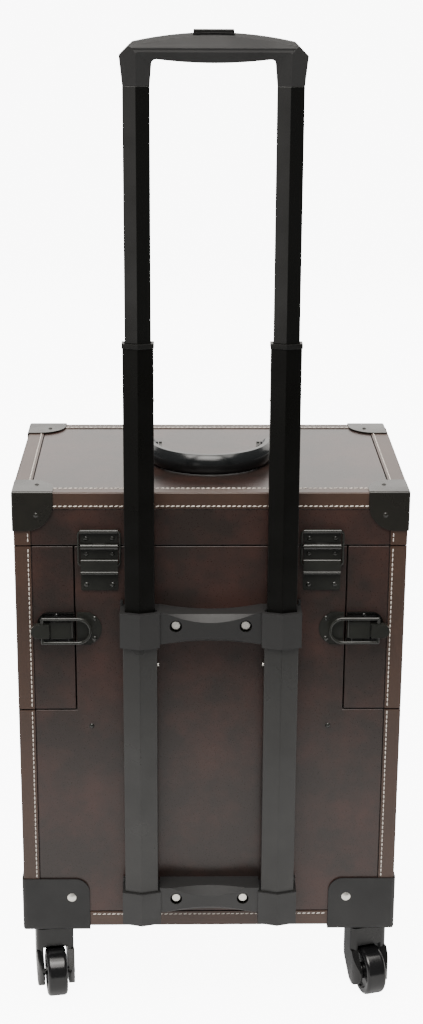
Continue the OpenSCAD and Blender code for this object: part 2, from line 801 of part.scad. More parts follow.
module hinge_case_leaves() {
    third = leaf_w / 6;
    color(black_enamel) at_stay_hinge() {
        difference() {
            union() {
                plate(-leaf_w / 2, leaf_w / 2, -leaf_down, -half_gap, plate_t);
                knuckle(-leaf_w / 2, -third - leaf_gap);
                knuckle(third + leaf_gap, leaf_w / 2);
                rotate([90, 0, 90]) translate([0, 0, -leaf_w / 2]) linear_extrude(leaf_w) bridge_outline();
                translate([-leaf_w / 2, bridge_z1 - roll_d / 2, roll_d / 2]) rotate([0, 90, 0])
                    cylinder(d = roll_d, h = leaf_w);
            }
            translate([-third - leaf_gap, -hinge_lift - leaf_gap, plate_t - 1.2])
                cube([2 * (third + leaf_gap), knuckle_d, knuckle_d + 2]);
            translate([-leaf_w, bridge_fold - 0.4, plate_t])
                cube([2 * leaf_w, bridge_z1 - roll_d - bridge_fold, wire_d + 2 * wire_gap]);
            translate([-leaf_w / 2 - 1, 0, hinge_lift]) rotate([0, 90, 0])
                cylinder(d = pin_d + 2 * pin_fit, h = leaf_w + 2);
        }
        leaf_rivets(-leaf_down + 5.5);
        leaf_rivets(-7.6);
    }
}

module hinge_lid_leaves() {
    third = leaf_w / 6;
    color(black_enamel) at_stay_hinge() {
        difference() {
            union() {
                plate(-leaf_w / 2, leaf_w / 2, half_gap, stay_up, plate_t);
                knuckle(-third, third);
                translate([-leaf_w / 2, stay_up, stay_lift]) rotate([0, 90, 0]) cylinder(d = roll_d, h = leaf_w);
            }
            translate([-leaf_w / 2 - 1, stay_up, stay_lift]) rotate([0, 90, 0])
                cylinder(d = wire_d + 2 * pin_fit, h = leaf_w + 2);
            for (x = [-leaf_w / 2 - 1, third]) translate([x, -hinge_lift - leaf_gap, -1])
                cube([leaf_w / 2 - third + 1, 2 * (hinge_lift + leaf_gap), knuckle_d + 2]);
            translate([-leaf_w / 2 - 1, 0, hinge_lift]) rotate([0, 90, 0])
                cylinder(d = pin_d + 2 * pin_fit, h = leaf_w + 2);
        }
        translate([-leaf_w / 2, 0, hinge_lift]) rotate([0, 90, 0]) cylinder(d = pin_d, h = leaf_w);
        leaf_rivets(7.4);
    }
}

// Closed wire loop: its upper leg turns in the lid leaf's roll, its lower leg slides under the bridge
module stay_wire(side) {
    bend = 2.6;
    x = stay_w / 2 - wire_d / 2;
    color(black_enamel) sided(side) on_rear(-hinge_x, seam_z) translate([0, 0, stay_lift]) {
        for (y = [stay_up, -stay_down]) translate([-x + bend, y, 0]) rotate([0, 90, 0])
            cylinder(d = wire_d, h = 2 * (x - bend));
        for (c = [-x, x]) translate([c, -stay_down + bend, 0]) rotate([-90, 0, 0])
            cylinder(d = wire_d, h = stay_up + stay_down - 2 * bend);
        translate([x - bend, stay_up - bend, 0]) wire_bend(bend, 0);
        translate([-x + bend, stay_up - bend, 0]) wire_bend(bend, 90);
        translate([-x + bend, -stay_down + bend, 0]) wire_bend(bend, 180);
        translate([x - bend, -stay_down + bend, 0]) wire_bend(bend, 270);
    }
}

// Quarter bend of the stay wire, starting at the angle a
module wire_bend(r, a) {
    rotate([0, 0, a]) rotate_extrude(angle = 90) translate([r, 0]) circle(d = wire_d, $fn = 24);
}

// Wing latches, drawn at the left wing in the rear frame with the lever's pin at x = 0

module at_latch(side) {
    sided(side) on_rear(-lever_pin_x, latch_mid) children();
}

module wing_latch_catches() {
    seam = lever_pin_x - tower_edge;
    r = catch_h / 2;
    color(black_enamel) both_sides() on_rear(-lever_pin_x, latch_mid) {
        linear_extrude(plate_t) polygon(concat([[seam + 1, -r], [seam + catch_w - r * 0.62, -r]],
            arc(seam + catch_w - r, 0, r, -68, 68, 16), [[seam + catch_w - r * 0.62, r], [seam + 1, r]]));
        translate([0, 0, plate_t]) linear_extrude(3) polygon(concat([[seam + 1.5, -hump_r], [seam + 5, -hump_r]],
            arc(seam + 5, 0, hump_r, -90, 90, 12), [[seam + 5, hump_r], [seam + 1.5, hump_r]]));
        for (y = [-10, 10]) translate([seam + catch_w - 6.5, y, plate_t]) rivet_head(rivet_head_d, rivet_head_h);
    }
}

// Outline of the latch base, rounded at the lever's tip
module latch_plate(half) {
    end = -bail_pivot - latch_edge;
    linear_extrude(plate_t) polygon(concat([[hinge_lift, -half], [hinge_lift, half]],
        arc(end + latch_r, half - latch_r, latch_r, 90, 180, 8),
        arc(end + latch_r, -half + latch_r, latch_r, 180, 270, 8)));
}

// Latch base on the wing: a plate with two knuckles that hold the lever's pin
module latch_base() {
    half = catch_h / 2;
    slot = lever_w / 2 + 0.3;
    difference() {
        latch_plate(half);
        translate([-hinge_lift - 0.4, -slot, -1]) cube([2 * hinge_lift + 2, 2 * slot, plate_t + 2]);
    }
    for (y = [-1, 1]) translate([0, y * (lever_w / 2 + 2.5), hinge_lift]) rotate([90, 0, 0]) difference() {
        cylinder(d = knuckle_d, h = 4.4, center = true);
        cylinder(d = pin_d + 2 * pin_fit, h = 6, center = true);
    }
    translate([0, 0, hinge_lift]) rotate([90, 0, 0]) cylinder(d = pin_d, h = lever_w + 9, center = true);
    for (y = [-13, 13]) translate([-bail_pivot / 2, y, plate_t]) rivet_head(3.6, 0.9);
}

// Lever: a raised block over the pin, then a thumb tab that the bail's ends turn in
module latch_lever(side) {
    half = lever_w / 2;
    tab = tab_w / 2;
    tab_x = -lever_block - 0.9;
    color(black_enamel) at_latch(side) difference() {
        union() {
            translate([0, 0, hinge_lift]) rotate([90, 0, 0]) cylinder(d = knuckle_d, h = lever_w, center = true);
            block(-lever_block, 0, -half, half, knuckle_d - lever_t, block_top);
            block(-lever_block - 1, -lever_block, -tab, tab, knuckle_d - lever_t, knuckle_d);
            translate([0, 0, knuckle_d - lever_t]) linear_extrude(tab_top - knuckle_d + lever_t)
                polygon(concat([[tab_x, tab], [-bail_pivot - 3, tab]],
                    arc(-lever_len + tab, 0, tab, 90, 270, 12), [[-bail_pivot - 3, -tab], [tab_x, -tab]]));
        }
        translate([0, 0, hinge_lift]) rotate([90, 0, 0])
            cylinder(d = pin_d + 2 * pin_fit, h = lever_w + 2, center = true);
        translate([-bail_pivot, 0, bail_lift]) rotate([90, 0, 0])
            cylinder(d = bail_d + 2 * pin_fit, h = lever_w + 2, center = true);
    }
}

// D-shaped wire: its ends turn in the lever, and its round end lies over the catch
module latch_bail(side) {
    r = bail_w / 2 - bail_d / 2;
    end_x = -bail_pivot + bail_len - bail_w / 2;
    leg = bail_w / 2 - tab_w / 2 + 1.5;
    color(black_enamel) at_latch(side) translate([0, 0, bail_lift]) {
        for (y = [-r, r]) {
            translate([-bail_pivot, y, 0]) rotate([0, 90, 0]) cylinder(d = bail_d, h = end_x + bail_pivot);
            translate([-bail_pivot, y, 0]) sphere(d = bail_d);
            translate([-bail_pivot, y, 0]) rotate([y > 0 ? 90 : -90, 0, 0]) cylinder(d = bail_d, h = leg);
        }
        translate([end_x, 0, 0]) rotate([0, 0, -90]) rotate_extrude(angle = 180) translate([r, 0]) circle(d = bail_d);
    }
}

// Wings

module wing_box(side) {
    z0 = wing_z + half_gap;
    z1 = seam_z - half_gap;
    color(board_colour) sided(side) {
        block(-board_x, -inner_x, board_y0, board_y1, z0, z1);
        block(-inner_x, -wing_edge, board_y0, inner_y0, z0, z1);
        block(-inner_x, -wing_edge, inner_y1, board_y1, z0, z1);
        block(-inner_x, -wing_edge, inner_y0, inner_y1, z0, z0 + board_t);
        block(-inner_x, -wing_edge, inner_y0, inner_y1, z1 - board_t, z1);
    }
}

module wing_leather(side) {
    z0 = wing_z + half_gap;
    z1 = seam_z - half_gap;
    color(leather_colour) sided(side) {
        block(-board_x - leather_t, -board_x, sheet_y0, sheet_y1, z0, z1);
        rear_and_front() block(-sheet_x, -wing_edge, board_y0 - leather_t, board_y0, z0, z1);
    }
}

module wing_binding(side) {
    color(binding_colour) sided(side) rear_and_front() upright_binding(wing_z + half_gap, seam_z - half_gap);
}

// Butt hinges on the front of the upright seams, with z along the pin
module at_wing_hinges() {
    for (z = [wing_z + wing_hinge_end, seam_z - wing_hinge_end])
        translate([-tower_x, wing_pin_y, z]) children();
}

module wing_knuckle(z0, z1) {
    translate([0, 0, z0]) difference() {
        cylinder(d = knuckle_d, h = z1 - z0);
        translate([0, 0, -1]) cylinder(d = pin_d + 2 * pin_fit, h = z1 - z0 + 2);
    }
}

// Leaf beside the knuckle, on the side given by dir
module wing_leaf(dir) {
    near = hinge_lift + leaf_gap;
    x0 = dir < 0 ? -wing_leaf_reach : near;
    x1 = dir < 0 ? -near : wing_leaf_reach;
    h = wing_hinge_len / 2;
    block(x0, x1, -hinge_lift, -hinge_lift + plate_t, -h, h);
    for (z = [-0.6 * h, 0.6 * h]) translate([dir * (wing_leaf_reach - 6), -hinge_lift + plate_t, z]) rotate([-90, 0, 0])
        rivet_head(rivet_head_d, rivet_head_h);
}

// Strip that joins a knuckle to the leaf on the side given by dir
module wing_leaf_root(dir, z0, z1) {
    near = hinge_lift + leaf_gap;
    block(dir < 0 ? -near : 0, dir < 0 ? 0 : near, -hinge_lift, -hinge_lift + plate_t, z0, z1);
}

module wing_hinge_leaves() {
    h = wing_hinge_len / 6;
    color(black_enamel) both_sides() at_wing_hinges() {
        difference() {
            union() {
                wing_knuckle(-h, h);
                wing_leaf(1);
                wing_leaf_root(1, -h, h);
            }
            translate([0, 0, -wing_hinge_len]) cylinder(d = pin_d + 2 * pin_fit, h = 2 * wing_hinge_len);
        }
        translate([0, 0, -wing_hinge_len / 2]) cylinder(d = pin_d, h = wing_hinge_len);
    }
}

module wing_hardware(side) {
    h = wing_hinge_len / 6 + leaf_gap;
    color(black_enamel) {
        at_latch(side) latch_base();
        sided(side) at_wing_hinges() difference() {
            union() {
                wing_knuckle(h, wing_hinge_len / 2);
                wing_knuckle(-wing_hinge_len / 2, -h);
                wing_leaf(-1);
                wing_leaf_root(-1, h, wing_hinge_len / 2);
                wing_leaf_root(-1, -wing_hinge_len / 2, -h);
            }
            translate([0, 0, -wing_hinge_len]) cylinder(d = pin_d + 2 * pin_fit, h = 2 * wing_hinge_len);
        }
    }
}

module case_screws() {
    color(black_enamel) both_sides() on_rear(-half_w + wing_w + 14, wing_z - 17) rivet_head(5, 1.4);
}

// Lid

module lid_panel() {
    z1 = top_z - binding_t;
    color(board_colour) block(-board_x, board_x, board_y0, board_y1, z1 - board_t, z1);
}

module lid_walls() {
    z0 = seam_z + half_gap;
    z1 = top_z - binding_t - board_t;
    color(board_colour) {
        rear_and_front() block(-board_x, board_x, board_y0, inner_y0, z0, z1);
        both_sides() block(-board_x, -inner_x, inner_y0, inner_y1, z0, z1);
    }
}

module lid_leather() {
    z0 = seam_z + half_gap;
    z1 = top_z - binding_w - cover_gap;
    color(leather_colour) {
        block(-sheet_x, sheet_x, sheet_y0, sheet_y1, top_z - binding_t, top_z - proud);
        rear_and_front() block(-sheet_x, sheet_x, board_y0 - leather_t, board_y0, z0, z1);
        both_sides() block(-board_x - leather_t, -board_x, sheet_y0, sheet_y1, z0, z1);
    }
}

module lid_edge_binding() {
    z0 = top_z - binding_w;
    color(binding_colour) {
        both_sides() rear_and_front() upright_binding(seam_z + half_gap, z0);
        rear_and_front() {
            block(-half_w, half_w, rear_y, rear_y + binding_t, z0, top_z);
            block(-half_w, half_w, rear_y + binding_t, rear_y + binding_w, top_z - binding_t, top_z);
        }
        both_sides() {
            block(-half_w, -half_w + binding_t, rear_y + binding_w, front_y - binding_w, z0, top_z);
            block(-half_w + binding_t, -half_w + binding_w, rear_y + binding_w, front_y - binding_w,
                top_z - binding_t, top_z);
        }
    }
}

// Left rear cap over a lid corner, with a rivet in each face
module lid_corner_cap() {
    w = cap_w + cap_t;
    rivet = 21;
    translate([-half_w, rear_y, top_z]) {
        translate([-cap_t, -cap_t, 0]) linear_extrude(cap_t) rounded_corner(w, w, cap_r);
        mirror([0, 0, 1]) translate([-cap_t, 0, 0]) rotate([90, 0, 0]) linear_extrude(cap_t)
            rounded_corner(w, cap_w, cap_r);
        mirror([0, 0, 1]) translate([-cap_t, 0, 0]) rotate([90, 0, 90]) linear_extrude(cap_t)
            rounded_corner(cap_w, cap_w, cap_r);
        translate([rivet, rivet, cap_t]) rivet_head(rivet_head_d, rivet_head_h);
        translate([rivet, -cap_t, -rivet]) rotate([90, 0, 0]) rivet_head(rivet_head_d, rivet_head_h);
        translate([-cap_t, rivet, -rivet]) rotate([0, -90, 0]) rivet_head(rivet_head_d, rivet_head_h);
    }
}

module lid_corner_caps() {
    color(black_enamel) both_sides() rear_and_front() lid_corner_cap();
}

// Carry handle

module at_bow() {
    translate([0, rear_y + bow_y, top_z - proud + bow_z]) children();
}

module carry_handle_brackets() {
    out = bow_face / 2 + ear_t;
    color(black_enamel) at_bow() both_sides() translate([-bow_r, 0, 0]) {
        difference() {
            union() {
                translate([-out - bow_plate_edge, -bow_plate_l / 2, -bow_z])
                    cube([2 * (out + bow_plate_edge), bow_plate_l, bow_plate_t]);
                for (x = [-out, bow_face / 2]) translate([x, 0, 0]) {
                    rotate([0, 90, 0]) cylinder(d = ear_d, h = ear_t);
                    translate([0, -ear_d / 2, -bow_z + bow_plate_t / 2])
                        cube([ear_t, ear_d, bow_z - bow_plate_t / 2]);
                }
            }
            translate([-bow_face / 2, -bow_plate_l, -bow_z - 1])
                cube([bow_face / 2 + bow_w / 2 + bow_foot_drift + leaf_gap, 2 * bow_plate_l, bow_plate_t + 2]);
            translate([-out - 1, 0, 0]) rotate([0, 90, 0]) cylinder(d = bow_pin_d + 2 * seat_fit, h = 2 * out + 2);
        }
        translate([-out, 0, 0]) rotate([0, 90, 0]) cylinder(d = bow_pin_d, h = 2 * out);
    }
}

// Half ring of oval section that ends in two eyes on the pins
module carry_handle() {
    side_r = bow_h * 0.62;
    half = bow_w / 2;
    sweep = asin(bow_h / 2 / side_r);
    color(black_enamel) at_bow() difference() {
        union() {
            rotate([0, 0, 180]) rotate_extrude(angle = 180, $fn = 96) translate([bow_r, 0]) polygon(concat(
                arc(half - side_r, 0, side_r, -sweep, sweep, 8),
                arc(side_r - half, 0, side_r, 180 - sweep, 180 + sweep, 8)));
            both_sides() translate([-bow_r - half, 0, 0]) rotate([0, 90, 0]) cylinder(d = ear_d, h = bow_w);
        }
        both_sides() translate([-bow_r - half - 1, 0, 0]) rotate([0, 90, 0])
            cylinder(d = bow_pin_d + 2 * pin_fit, h = bow_w + 2);
    }
}

// Lid hasps on the front, drawn in the front frame with the pin at y = 0

module at_hasp(side) {
    sided(side) on_front(-hasp_x, hasp_z) children();
}

module hasp_knuckle(x0, x1) {
    translate([x0, 0, hinge_lift]) rotate([0, 90, 0]) difference() {
        cylinder(d = knuckle_d, h = x1 - x0);
        translate([0, 0, -1]) cylinder(d = pin_d + 2 * pin_fit, h = x1 - x0 + 2);
    }
}

module lid_hasp_plates() {
    third = hasp_w / 6;
    color(black_enamel) for (side = [-1, 1]) at_hasp(side) {
        difference() {
            union() {
                plate(-hasp_w / 2, hasp_w / 2, 0, hasp_plate_h, plate_t);
                hasp_knuckle(-hasp_w / 2, -third - leaf_gap);
                hasp_knuckle(third + leaf_gap, hasp_w / 2);
            }
            translate([-third - leaf_gap, -hinge_lift - 1, -1])
                cube([2 * (third + leaf_gap), 2 * hinge_lift + 1 + leaf_gap, knuckle_d + 2]);
            translate([-hasp_w / 2 - 1, 0, hinge_lift]) rotate([0, 90, 0])
                cylinder(d = pin_d + 2 * pin_fit, h = hasp_w + 2);
        }
        translate([-hasp_w / 2, 0, hinge_lift]) rotate([0, 90, 0]) cylinder(d = pin_d, h = hasp_w);
        for (x = [-hasp_rivet_x, hasp_rivet_x]) translate([x, hasp_plate_h - 5, plate_t])
            rivet_head(rivet_head_d, rivet_head_h);
    }
}

module lid_hasp(side) {
    third = hasp_w / 6;
    color(black_enamel) at_hasp(side) difference() {
        union() {
            hasp_knuckle(-third, third);
            translate([0, 0, knuckle_d - plate_t - 0.4]) plate(-third, third, -hinge_lift - 3, 0, plate_t, 0.4);
            translate([0, 0, knuckle_d - plate_t - 0.4]) plate(-hasp_w / 2, hasp_w / 2, -hasp_len, -hinge_lift - 1,
                plate_t, 4);
            translate([0, -hasp_len, knuckle_d - hasp_bar_d / 2]) rotate([0, 90, 0])
                cylinder(d = hasp_bar_d, h = hasp_w - 9, center = true);
        }
        translate([-hasp_w, 0, hinge_lift]) rotate([0, 90, 0]) cylinder(d = pin_d + 2 * pin_fit, h = 2 * hasp_w);
    }
}

module lid_latch_bases() {
    top = -hasp_up - half_gap;
    color(black_enamel) for (side = [-1, 1]) at_hasp(side) {
        plate(-hasp_w / 2 - 2, hasp_w / 2 + 2, -hasp_len - 8, top - 2, plate_t, 4);
        translate([0, top - 12, plate_t]) cylinder(d = 12, h = strike_h);
        for (x = [-hasp_rivet_x, hasp_rivet_x]) translate([x, -hasp_len - 4, plate_t]) rivet_head(3.6, 0.9);
    }
}

// Castors, drawn about the swivel pin with the trail along -Y

module at_castor(x, y) {
    translate([x, y, 0]) rotate([0, 0, x < 0 ? left_castor_turn : right_castor_turn]) children();
}

// Side outline of a fork arm: from under the neck to round the axle
module arm_outline() {
    polygon(concat([[neck_d / 2, fork_top - 3], [-neck_d / 2, fork_top - 3], [-neck_d / 2, neck_z - 6]],
        arc(-trail, axle_z, arm_end_r, 150, 330, 16), [[neck_d / 2 - 4, neck_z - 6], [neck_d / 2, neck_z + 4]]));
}

// Plan of a fork's neck: round behind, square with rounded corners over the arms
module neck_plan() {
    r = neck_d / 2;
    circle(r);
    translate([-r, -r + neck_r]) square([neck_d, r - neck_r]);
    translate([-r + neck_r, -r]) square([neck_d - 2 * neck_r, r]);
    for (x = [neck_r - r, r - neck_r]) translate([x, -r + neck_r]) circle(neck_r);
}

module castor_fork(x, y) {
    slot = wheel_w / 2 + fork_gap;
    arm_x = neck_d / 2;
    color(charcoal) at_castor(x, y) {
        difference() {
            union() {
                translate([0, 0, neck_z]) cylinder(d = neck_d, h = fork_top - neck_z);
                intersection() {
                    rotate([90, 0, 90]) translate([0, 0, -arm_x]) linear_extrude(2 * arm_x) arm_outline();
                    union() {
                        cylinder(d = neck_d, h = fork_top - 3);
                        translate([0, -trail, 0]) cylinder(d = neck_d, h = fork_top - 3);
                        block(-arm_x, arm_x, -trail, 0, 0, fork_top - 3);
                    }
                }
            }
            block(-slot, slot, -trail - wheel_d, -trail + wheel_d / 2 + fork_web_gap, -1, neck_z - 1);
            translate([0, -trail, axle_z]) rotate([0, 90, 0])
                cylinder(d = axle_d + 2 * seat_fit, h = neck_d + 2, center = true);
            difference() {
                block(-neck_d, neck_d, -neck_d, neck_d, neck_z - 6, castor_h);
                translate([0, 0, neck_z - 7]) linear_extrude(castor_h) neck_plan();
            }
            translate([0, 0, neck_z]) cylinder(d = kingpin_d + 2 * seat_fit, h = castor_h);
        }
        translate([0, -trail, axle_z]) rotate([0, 90, 0]) cylinder(d = axle_d, h = neck_d, center = true);
        translate([0, 0, neck_z + 1]) cylinder(d = kingpin_d, h = box_z + boss_h - 1 - neck_z);
    }
}

module castor_wheel(x, y) {
    r = wheel_d / 2;
    half = wheel_w / 2;
    edge = 3.5;
    bore_r = axle_d / 2 + pin_fit;
    color(tyre_grey) at_castor(x, y) translate([0, -trail, axle_z]) rotate([0, 90, 0])
        rotate_extrude($fn = 72) polygon(concat([[bore_r, -half - 0.6], [8, -half - 0.6], [8, -half + 2.5],
            [r - 8, -half + 2.5], [r - 6.5, -half]], arc(r - edge, -half + edge, edge, -90, 0, 6),
            arc(r - edge, half - edge, edge, 0, 90, 6),
            [[r - 6.5, half], [r - 8, half - 2.5], [8, half - 2.5], [8, half + 0.6], [bore_r, half + 0.6]]));
}

base_floor();
base_rear_panel();
base_front_panel();
base_side_panels();
tower_walls();
base_leather();
base_edge_binding();
corner_guards();
bright_rivets();
outer_tubes();
upper_bracket();
lower_bracket();
hinge_case_leaves();
wing_latch_catches();
lid_latch_bases();
wing_hinge_leaves();
case_screws();
lid_panel();
lid_walls();
lid_leather();
lid_edge_binding();
lid_corner_caps();
hinge_lid_leaves();
carry_handle_brackets();
lid_hasp_plates();
carry_handle();
stay_wire(-1);  // left_stay_wire
stay_wire(1);  // right_stay_wire
middle_tubes();
middle_collars();
middle_bushes();
middle_studs();
upper_tubes();
upper_bushes();
grip();
release_button();
push_rods();
wing_box(-1);  // left_wing_box
wing_leather(-1);  // left_wing_leather
wing_binding(-1);  // left_wing_binding
wing_hardware(-1);  // left_wing_hardware
latch_lever(-1);  // left_latch_lever
latch_bail(-1);  // left_latch_bail
wing_box(1);  // right_wing_box
wing_leather(1);  // right_wing_leather
wing_binding(1);  // right_wing_binding
wing_hardware(1);  // right_wing_hardware
latch_lever(1);  // right_latch_lever
latch_bail(1);  // right_latch_bail
lid_hasp(-1);  // left_lid_hasp
lid_hasp(1);  // right_lid_hasp
castor_fork(-castor_x, castor_y0);  // rear_left_fork
castor_wheel(-castor_x, castor_y0);  // rear_left_wheel
castor_fork(castor_x, castor_y0);  // rear_right_fork
castor_wheel(castor_x, castor_y0);  // rear_right_wheel
castor_fork(-castor_x, castor_y1);  // front_left_fork
castor_wheel(-castor_x, castor_y1);  // front_left_wheel
castor_fork(castor_x, castor_y1);  // front_right_fork
castor_wheel(castor_x, castor_y1);  // front_right_wheel
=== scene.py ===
"""Dresses the rolling makeup case: stitched leather, enamelled fittings, trolley and castors."""
import json
import math

import bpy
from bpy.props import FloatProperty, FloatVectorProperty, PointerProperty
from mathutils import Matrix, Vector

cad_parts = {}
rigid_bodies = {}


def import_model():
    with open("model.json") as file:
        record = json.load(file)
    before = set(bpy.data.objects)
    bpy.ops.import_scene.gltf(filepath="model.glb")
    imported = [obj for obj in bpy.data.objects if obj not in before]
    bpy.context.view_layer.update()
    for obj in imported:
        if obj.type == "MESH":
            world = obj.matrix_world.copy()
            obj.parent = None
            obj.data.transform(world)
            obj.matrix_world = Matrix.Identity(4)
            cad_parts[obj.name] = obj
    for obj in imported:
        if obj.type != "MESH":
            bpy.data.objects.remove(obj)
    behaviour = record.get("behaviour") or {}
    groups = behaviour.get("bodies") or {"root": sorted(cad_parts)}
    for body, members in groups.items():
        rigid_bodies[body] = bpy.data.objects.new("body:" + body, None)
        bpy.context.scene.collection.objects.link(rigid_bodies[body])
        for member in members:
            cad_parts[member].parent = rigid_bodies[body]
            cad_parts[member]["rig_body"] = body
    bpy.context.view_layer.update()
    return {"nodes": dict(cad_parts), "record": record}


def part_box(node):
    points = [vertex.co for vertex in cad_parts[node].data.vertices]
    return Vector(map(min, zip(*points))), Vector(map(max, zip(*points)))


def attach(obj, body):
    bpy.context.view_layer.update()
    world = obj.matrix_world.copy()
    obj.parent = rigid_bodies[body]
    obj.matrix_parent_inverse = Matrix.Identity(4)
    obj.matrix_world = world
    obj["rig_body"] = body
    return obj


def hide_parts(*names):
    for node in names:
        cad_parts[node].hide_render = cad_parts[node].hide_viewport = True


bl_info = {
    "name": "Rolling Makeup Case",
    "version": (1, 0, 0),
    "blender": (4, 5, 0),
    "location": "View3D > Sidebar > Makeup Case",
    "description":
        "Finishes a rolling makeup case with leather, stitching, metal fittings and moulded parts",
    "category": "Object",
}

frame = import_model()
NODES = frame["nodes"]
SIDES = ("left", "right")
ENDS = ("rear", "front")
BRACKETS = ("upper_bracket", "lower_bracket")

MM = 0.001
WELD = 0.002 * MM  # points of a CAD mesh closer than this are one point
TOUCH = 0.02 * MM  # a point this near a plane lies on it

# Angles between faces, in degrees
FLAT_ANGLE = 0.5  # faces that meet at less are one flat face
SHARP_ANGLE = 40  # edges sharper than this are broken
RIDGE_ANGLE = 20  # the same for tubes and mouldings with shallow ridges
SMOOTH_ANGLE = 35  # faces that meet at less are shaded as one curve
HANDLE_ANGLE = 50  # the same for the rounded carry handle
WIRE_ANGLE = 60  # the same for round wires and stitches

# The case's faces, read from the frame: the bindings are its outermost skin
BASE_LOW, BASE_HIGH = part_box("base_edge_binding")
LID_LOW, LID_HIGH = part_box("lid_edge_binding")
WING_LOW, WING_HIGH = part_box("left_wing_binding")
CASE_HIGH = Vector((BASE_HIGH.x, BASE_HIGH.y, LID_HIGH.z))

# Sizes of the solids that the stitching and the caps keep to
GUARD_REACH = 64 * MM  # length of a corner guard along the box's lower edges
GUARD_CLEAR = 1 * MM  # room between a guard's end and a row of stitches
CAP_REACH = 34 * MM  # from a lid corner to the end of a level row, just under the cap
CAP_CLEAR = 0.2 * MM  # room between a cap's lower end and a row of stitches
CAP_WALL = 1.2 * MM  # how far a lid cap stands off the binding
SEAM_CLEAR = 0.5 * MM  # room between a seam and a row of stitches

STITCH_LEAN = math.radians(9)  # slant of the stitches in level rows
WAVE_PERIOD = 0.314  # metres from band to band of a wave texture at scale 1

# How a face of the grip has to lie, as parts of its normal
LEVEL, FACING, SLOPE = 0.9, 0.7, 0.1
GROOVE_PROFILE = 0.05  # a bevel that cuts inwards

# Each lamp's name, place, width, height and the setting that holds its power, in metres
LAMPS = (
    ("Front softbox", Vector((-0.4, -1.6, 3.0)), 2.4, 1.6, "front"),
    ("Side strip", Vector((-1.6, -2.7, 0.45)), 1.2, 1.3, "side"),
    ("Top softbox", Vector((0, -0.6, 2.6)), 2.4, 1.6, "top"),
    ("Back softbox", Vector((0, 3.0, 1.8)), 9.0, 2.2, "back"),
)
LAMP_AIM = Vector((0, 0, 0.45))

# The camera, fitted to the case's straight edges: metres from the trolley side's lower edge, then
# degrees, then the sensor's width in millimetres
CAMERA_SIDE, CAMERA_BACK, CAMERA_UP = -0.030, 1.600, 0.953
CAMERA_YAW, CAMERA_PITCH, CAMERA_ROLL = -1.09, 18.21, -0.30
SENSOR_WIDTH = 36


def srgb(code):
    """Linear RGBA from an sRGB hex colour."""
    parts = [int(code[i : i + 2], 16) / 255 for i in (1, 3, 5)]
    return tuple(
        c / 12.92 if c <= 0.04045 else ((c + 0.055) / 1.055) ** 2.4 for c in parts
    ) + (1.0,)


def colour(name, description, code):
    return FloatVectorProperty(
        name=name, description=description, subtype="COLOR", size=4, min=0, max=1,
        default=srgb(code)
    )


def length(name, description, millimetres):
    return FloatProperty(
        name=name, description=description, default=millimetres * MM, min=0, unit="LENGTH",
        precision=5
    )


def power(name, description, watts):
    return FloatProperty(name=name, description=description, default=watts, min=0, unit="POWER")


def brightness(name, description, value):
    return FloatProperty(name=name, description=description, default=value, min=0)


class CaseColours(bpy.types.PropertyGroup):
    leather: colour("Leather", "Panels of the case", "#2e2623")
    leather_flush: colour("Leather flush", "Redder patches in the panels", "#422e29")
    # Painted shade: the crease colours darken the bottoms of the grain as shadow would
    leather_crease: colour("Leather creases", "Bottom of the leather's grain", "#211a18")
    binding: colour("Binding", "Edge bindings", "#45352d")
    binding_flush: colour("Binding flush", "Warmer patches in the bindings", "#4d392f")
    # Painted shade, as for the panels' creases
    binding_crease: colour("Binding creases", "Bottom of the binding's grain", "#382822")
    thread: colour("Thread", "Stitching", "#f0e9df")
    enamel: colour("Enamel", "Black hinges and latches", "#282926")
    # Painted shade: a darker copy of the enamel for the wing latches' base plates, standing in for
    # the shadow round the levers
    lacquer: colour("Lacquer", "Latch base plates on the wings", "#0e0e0d")
    cap: colour("Cap enamel", "Corner caps of the lid", "#23221e")
    charcoal: colour("Charcoal moulding", "Trolley brackets", "#282828")
    grip: colour("Grip moulding", "Trolley grip", "#313131")
    guard: colour("Guard moulding", "Corner guards of the box", "#1b1b1b")
    castor: colour("Castor moulding", "Castor forks", "#0e0e0e")
    fixed_tube: colour("Fixed tube", "Outer trolley tubes", "#2d2d2c")
    black_tube: colour("Sliding tube", "Middle and upper trolley tubes", "#0a0a08")
    nickel: colour("Nickel", "Rivets and studs", "#f2f0e8")
    gloss: colour("Gloss black", "Carry handle", "#1d1f20")
    tyre: colour("Tread", "Wheels", "#161617")
    lining: colour("Lining", "Inside of the boards", "#2b2625")
    floor: colour("Floor", "Studio floor", "#d8d8d8")
    light: colour("Light", "Faintly warm studio lights", "#fffbf6")


class CaseSizes(bpy.types.PropertyGroup):
    grain: length("Leather grain", "Width of one pebble of the leather's grain", 2.6)
    stitch: length("Stitch", "Length of one stitch", 3.8)
    stitch_pitch: length("Stitch pitch", "Distance from one stitch to the next", 4.65)
    stitch_width: length("Thread width", "Width of the thread", 1.2)
    stitch_inset: length("Stitch inset", "Distance of a stitch line from the case's edge", 13)
    grip_crown: length("Grip crown", "Height of the grip's crown below its top", 12)
    grip_chamfer: length("Grip chamfer", "Width of the chamfer along the grip's crown", 3)
    grip_groove: length("Grip groove", "Half the width of the groove along the grip's ridges", 1.8)
    rivet_reach: length("Bracket rivets", "No bracket rivet lies further from the middle", 42)
    rivet_sunk: length("Rivet depth", "How far a bracket rivet lies under the bracket's face", 2.4)
    # The black cups are painted shade: a dark lining that darkens the rivet wells as shadow would
    cup: length("Rivet cup", "Radius of the black cup round a bracket rivet", 5.65)
    shade_cup_depth: length("Cup depth", "Depth of the black cup round a bracket rivet", 5)
    shade_cup_sunk: length("Cup rim", "How far a cup's rim lies under the bracket's face", 0.2)
    shade_cup_wall: length("Cup wall", "Thickness of a cup's wall", 0.3)


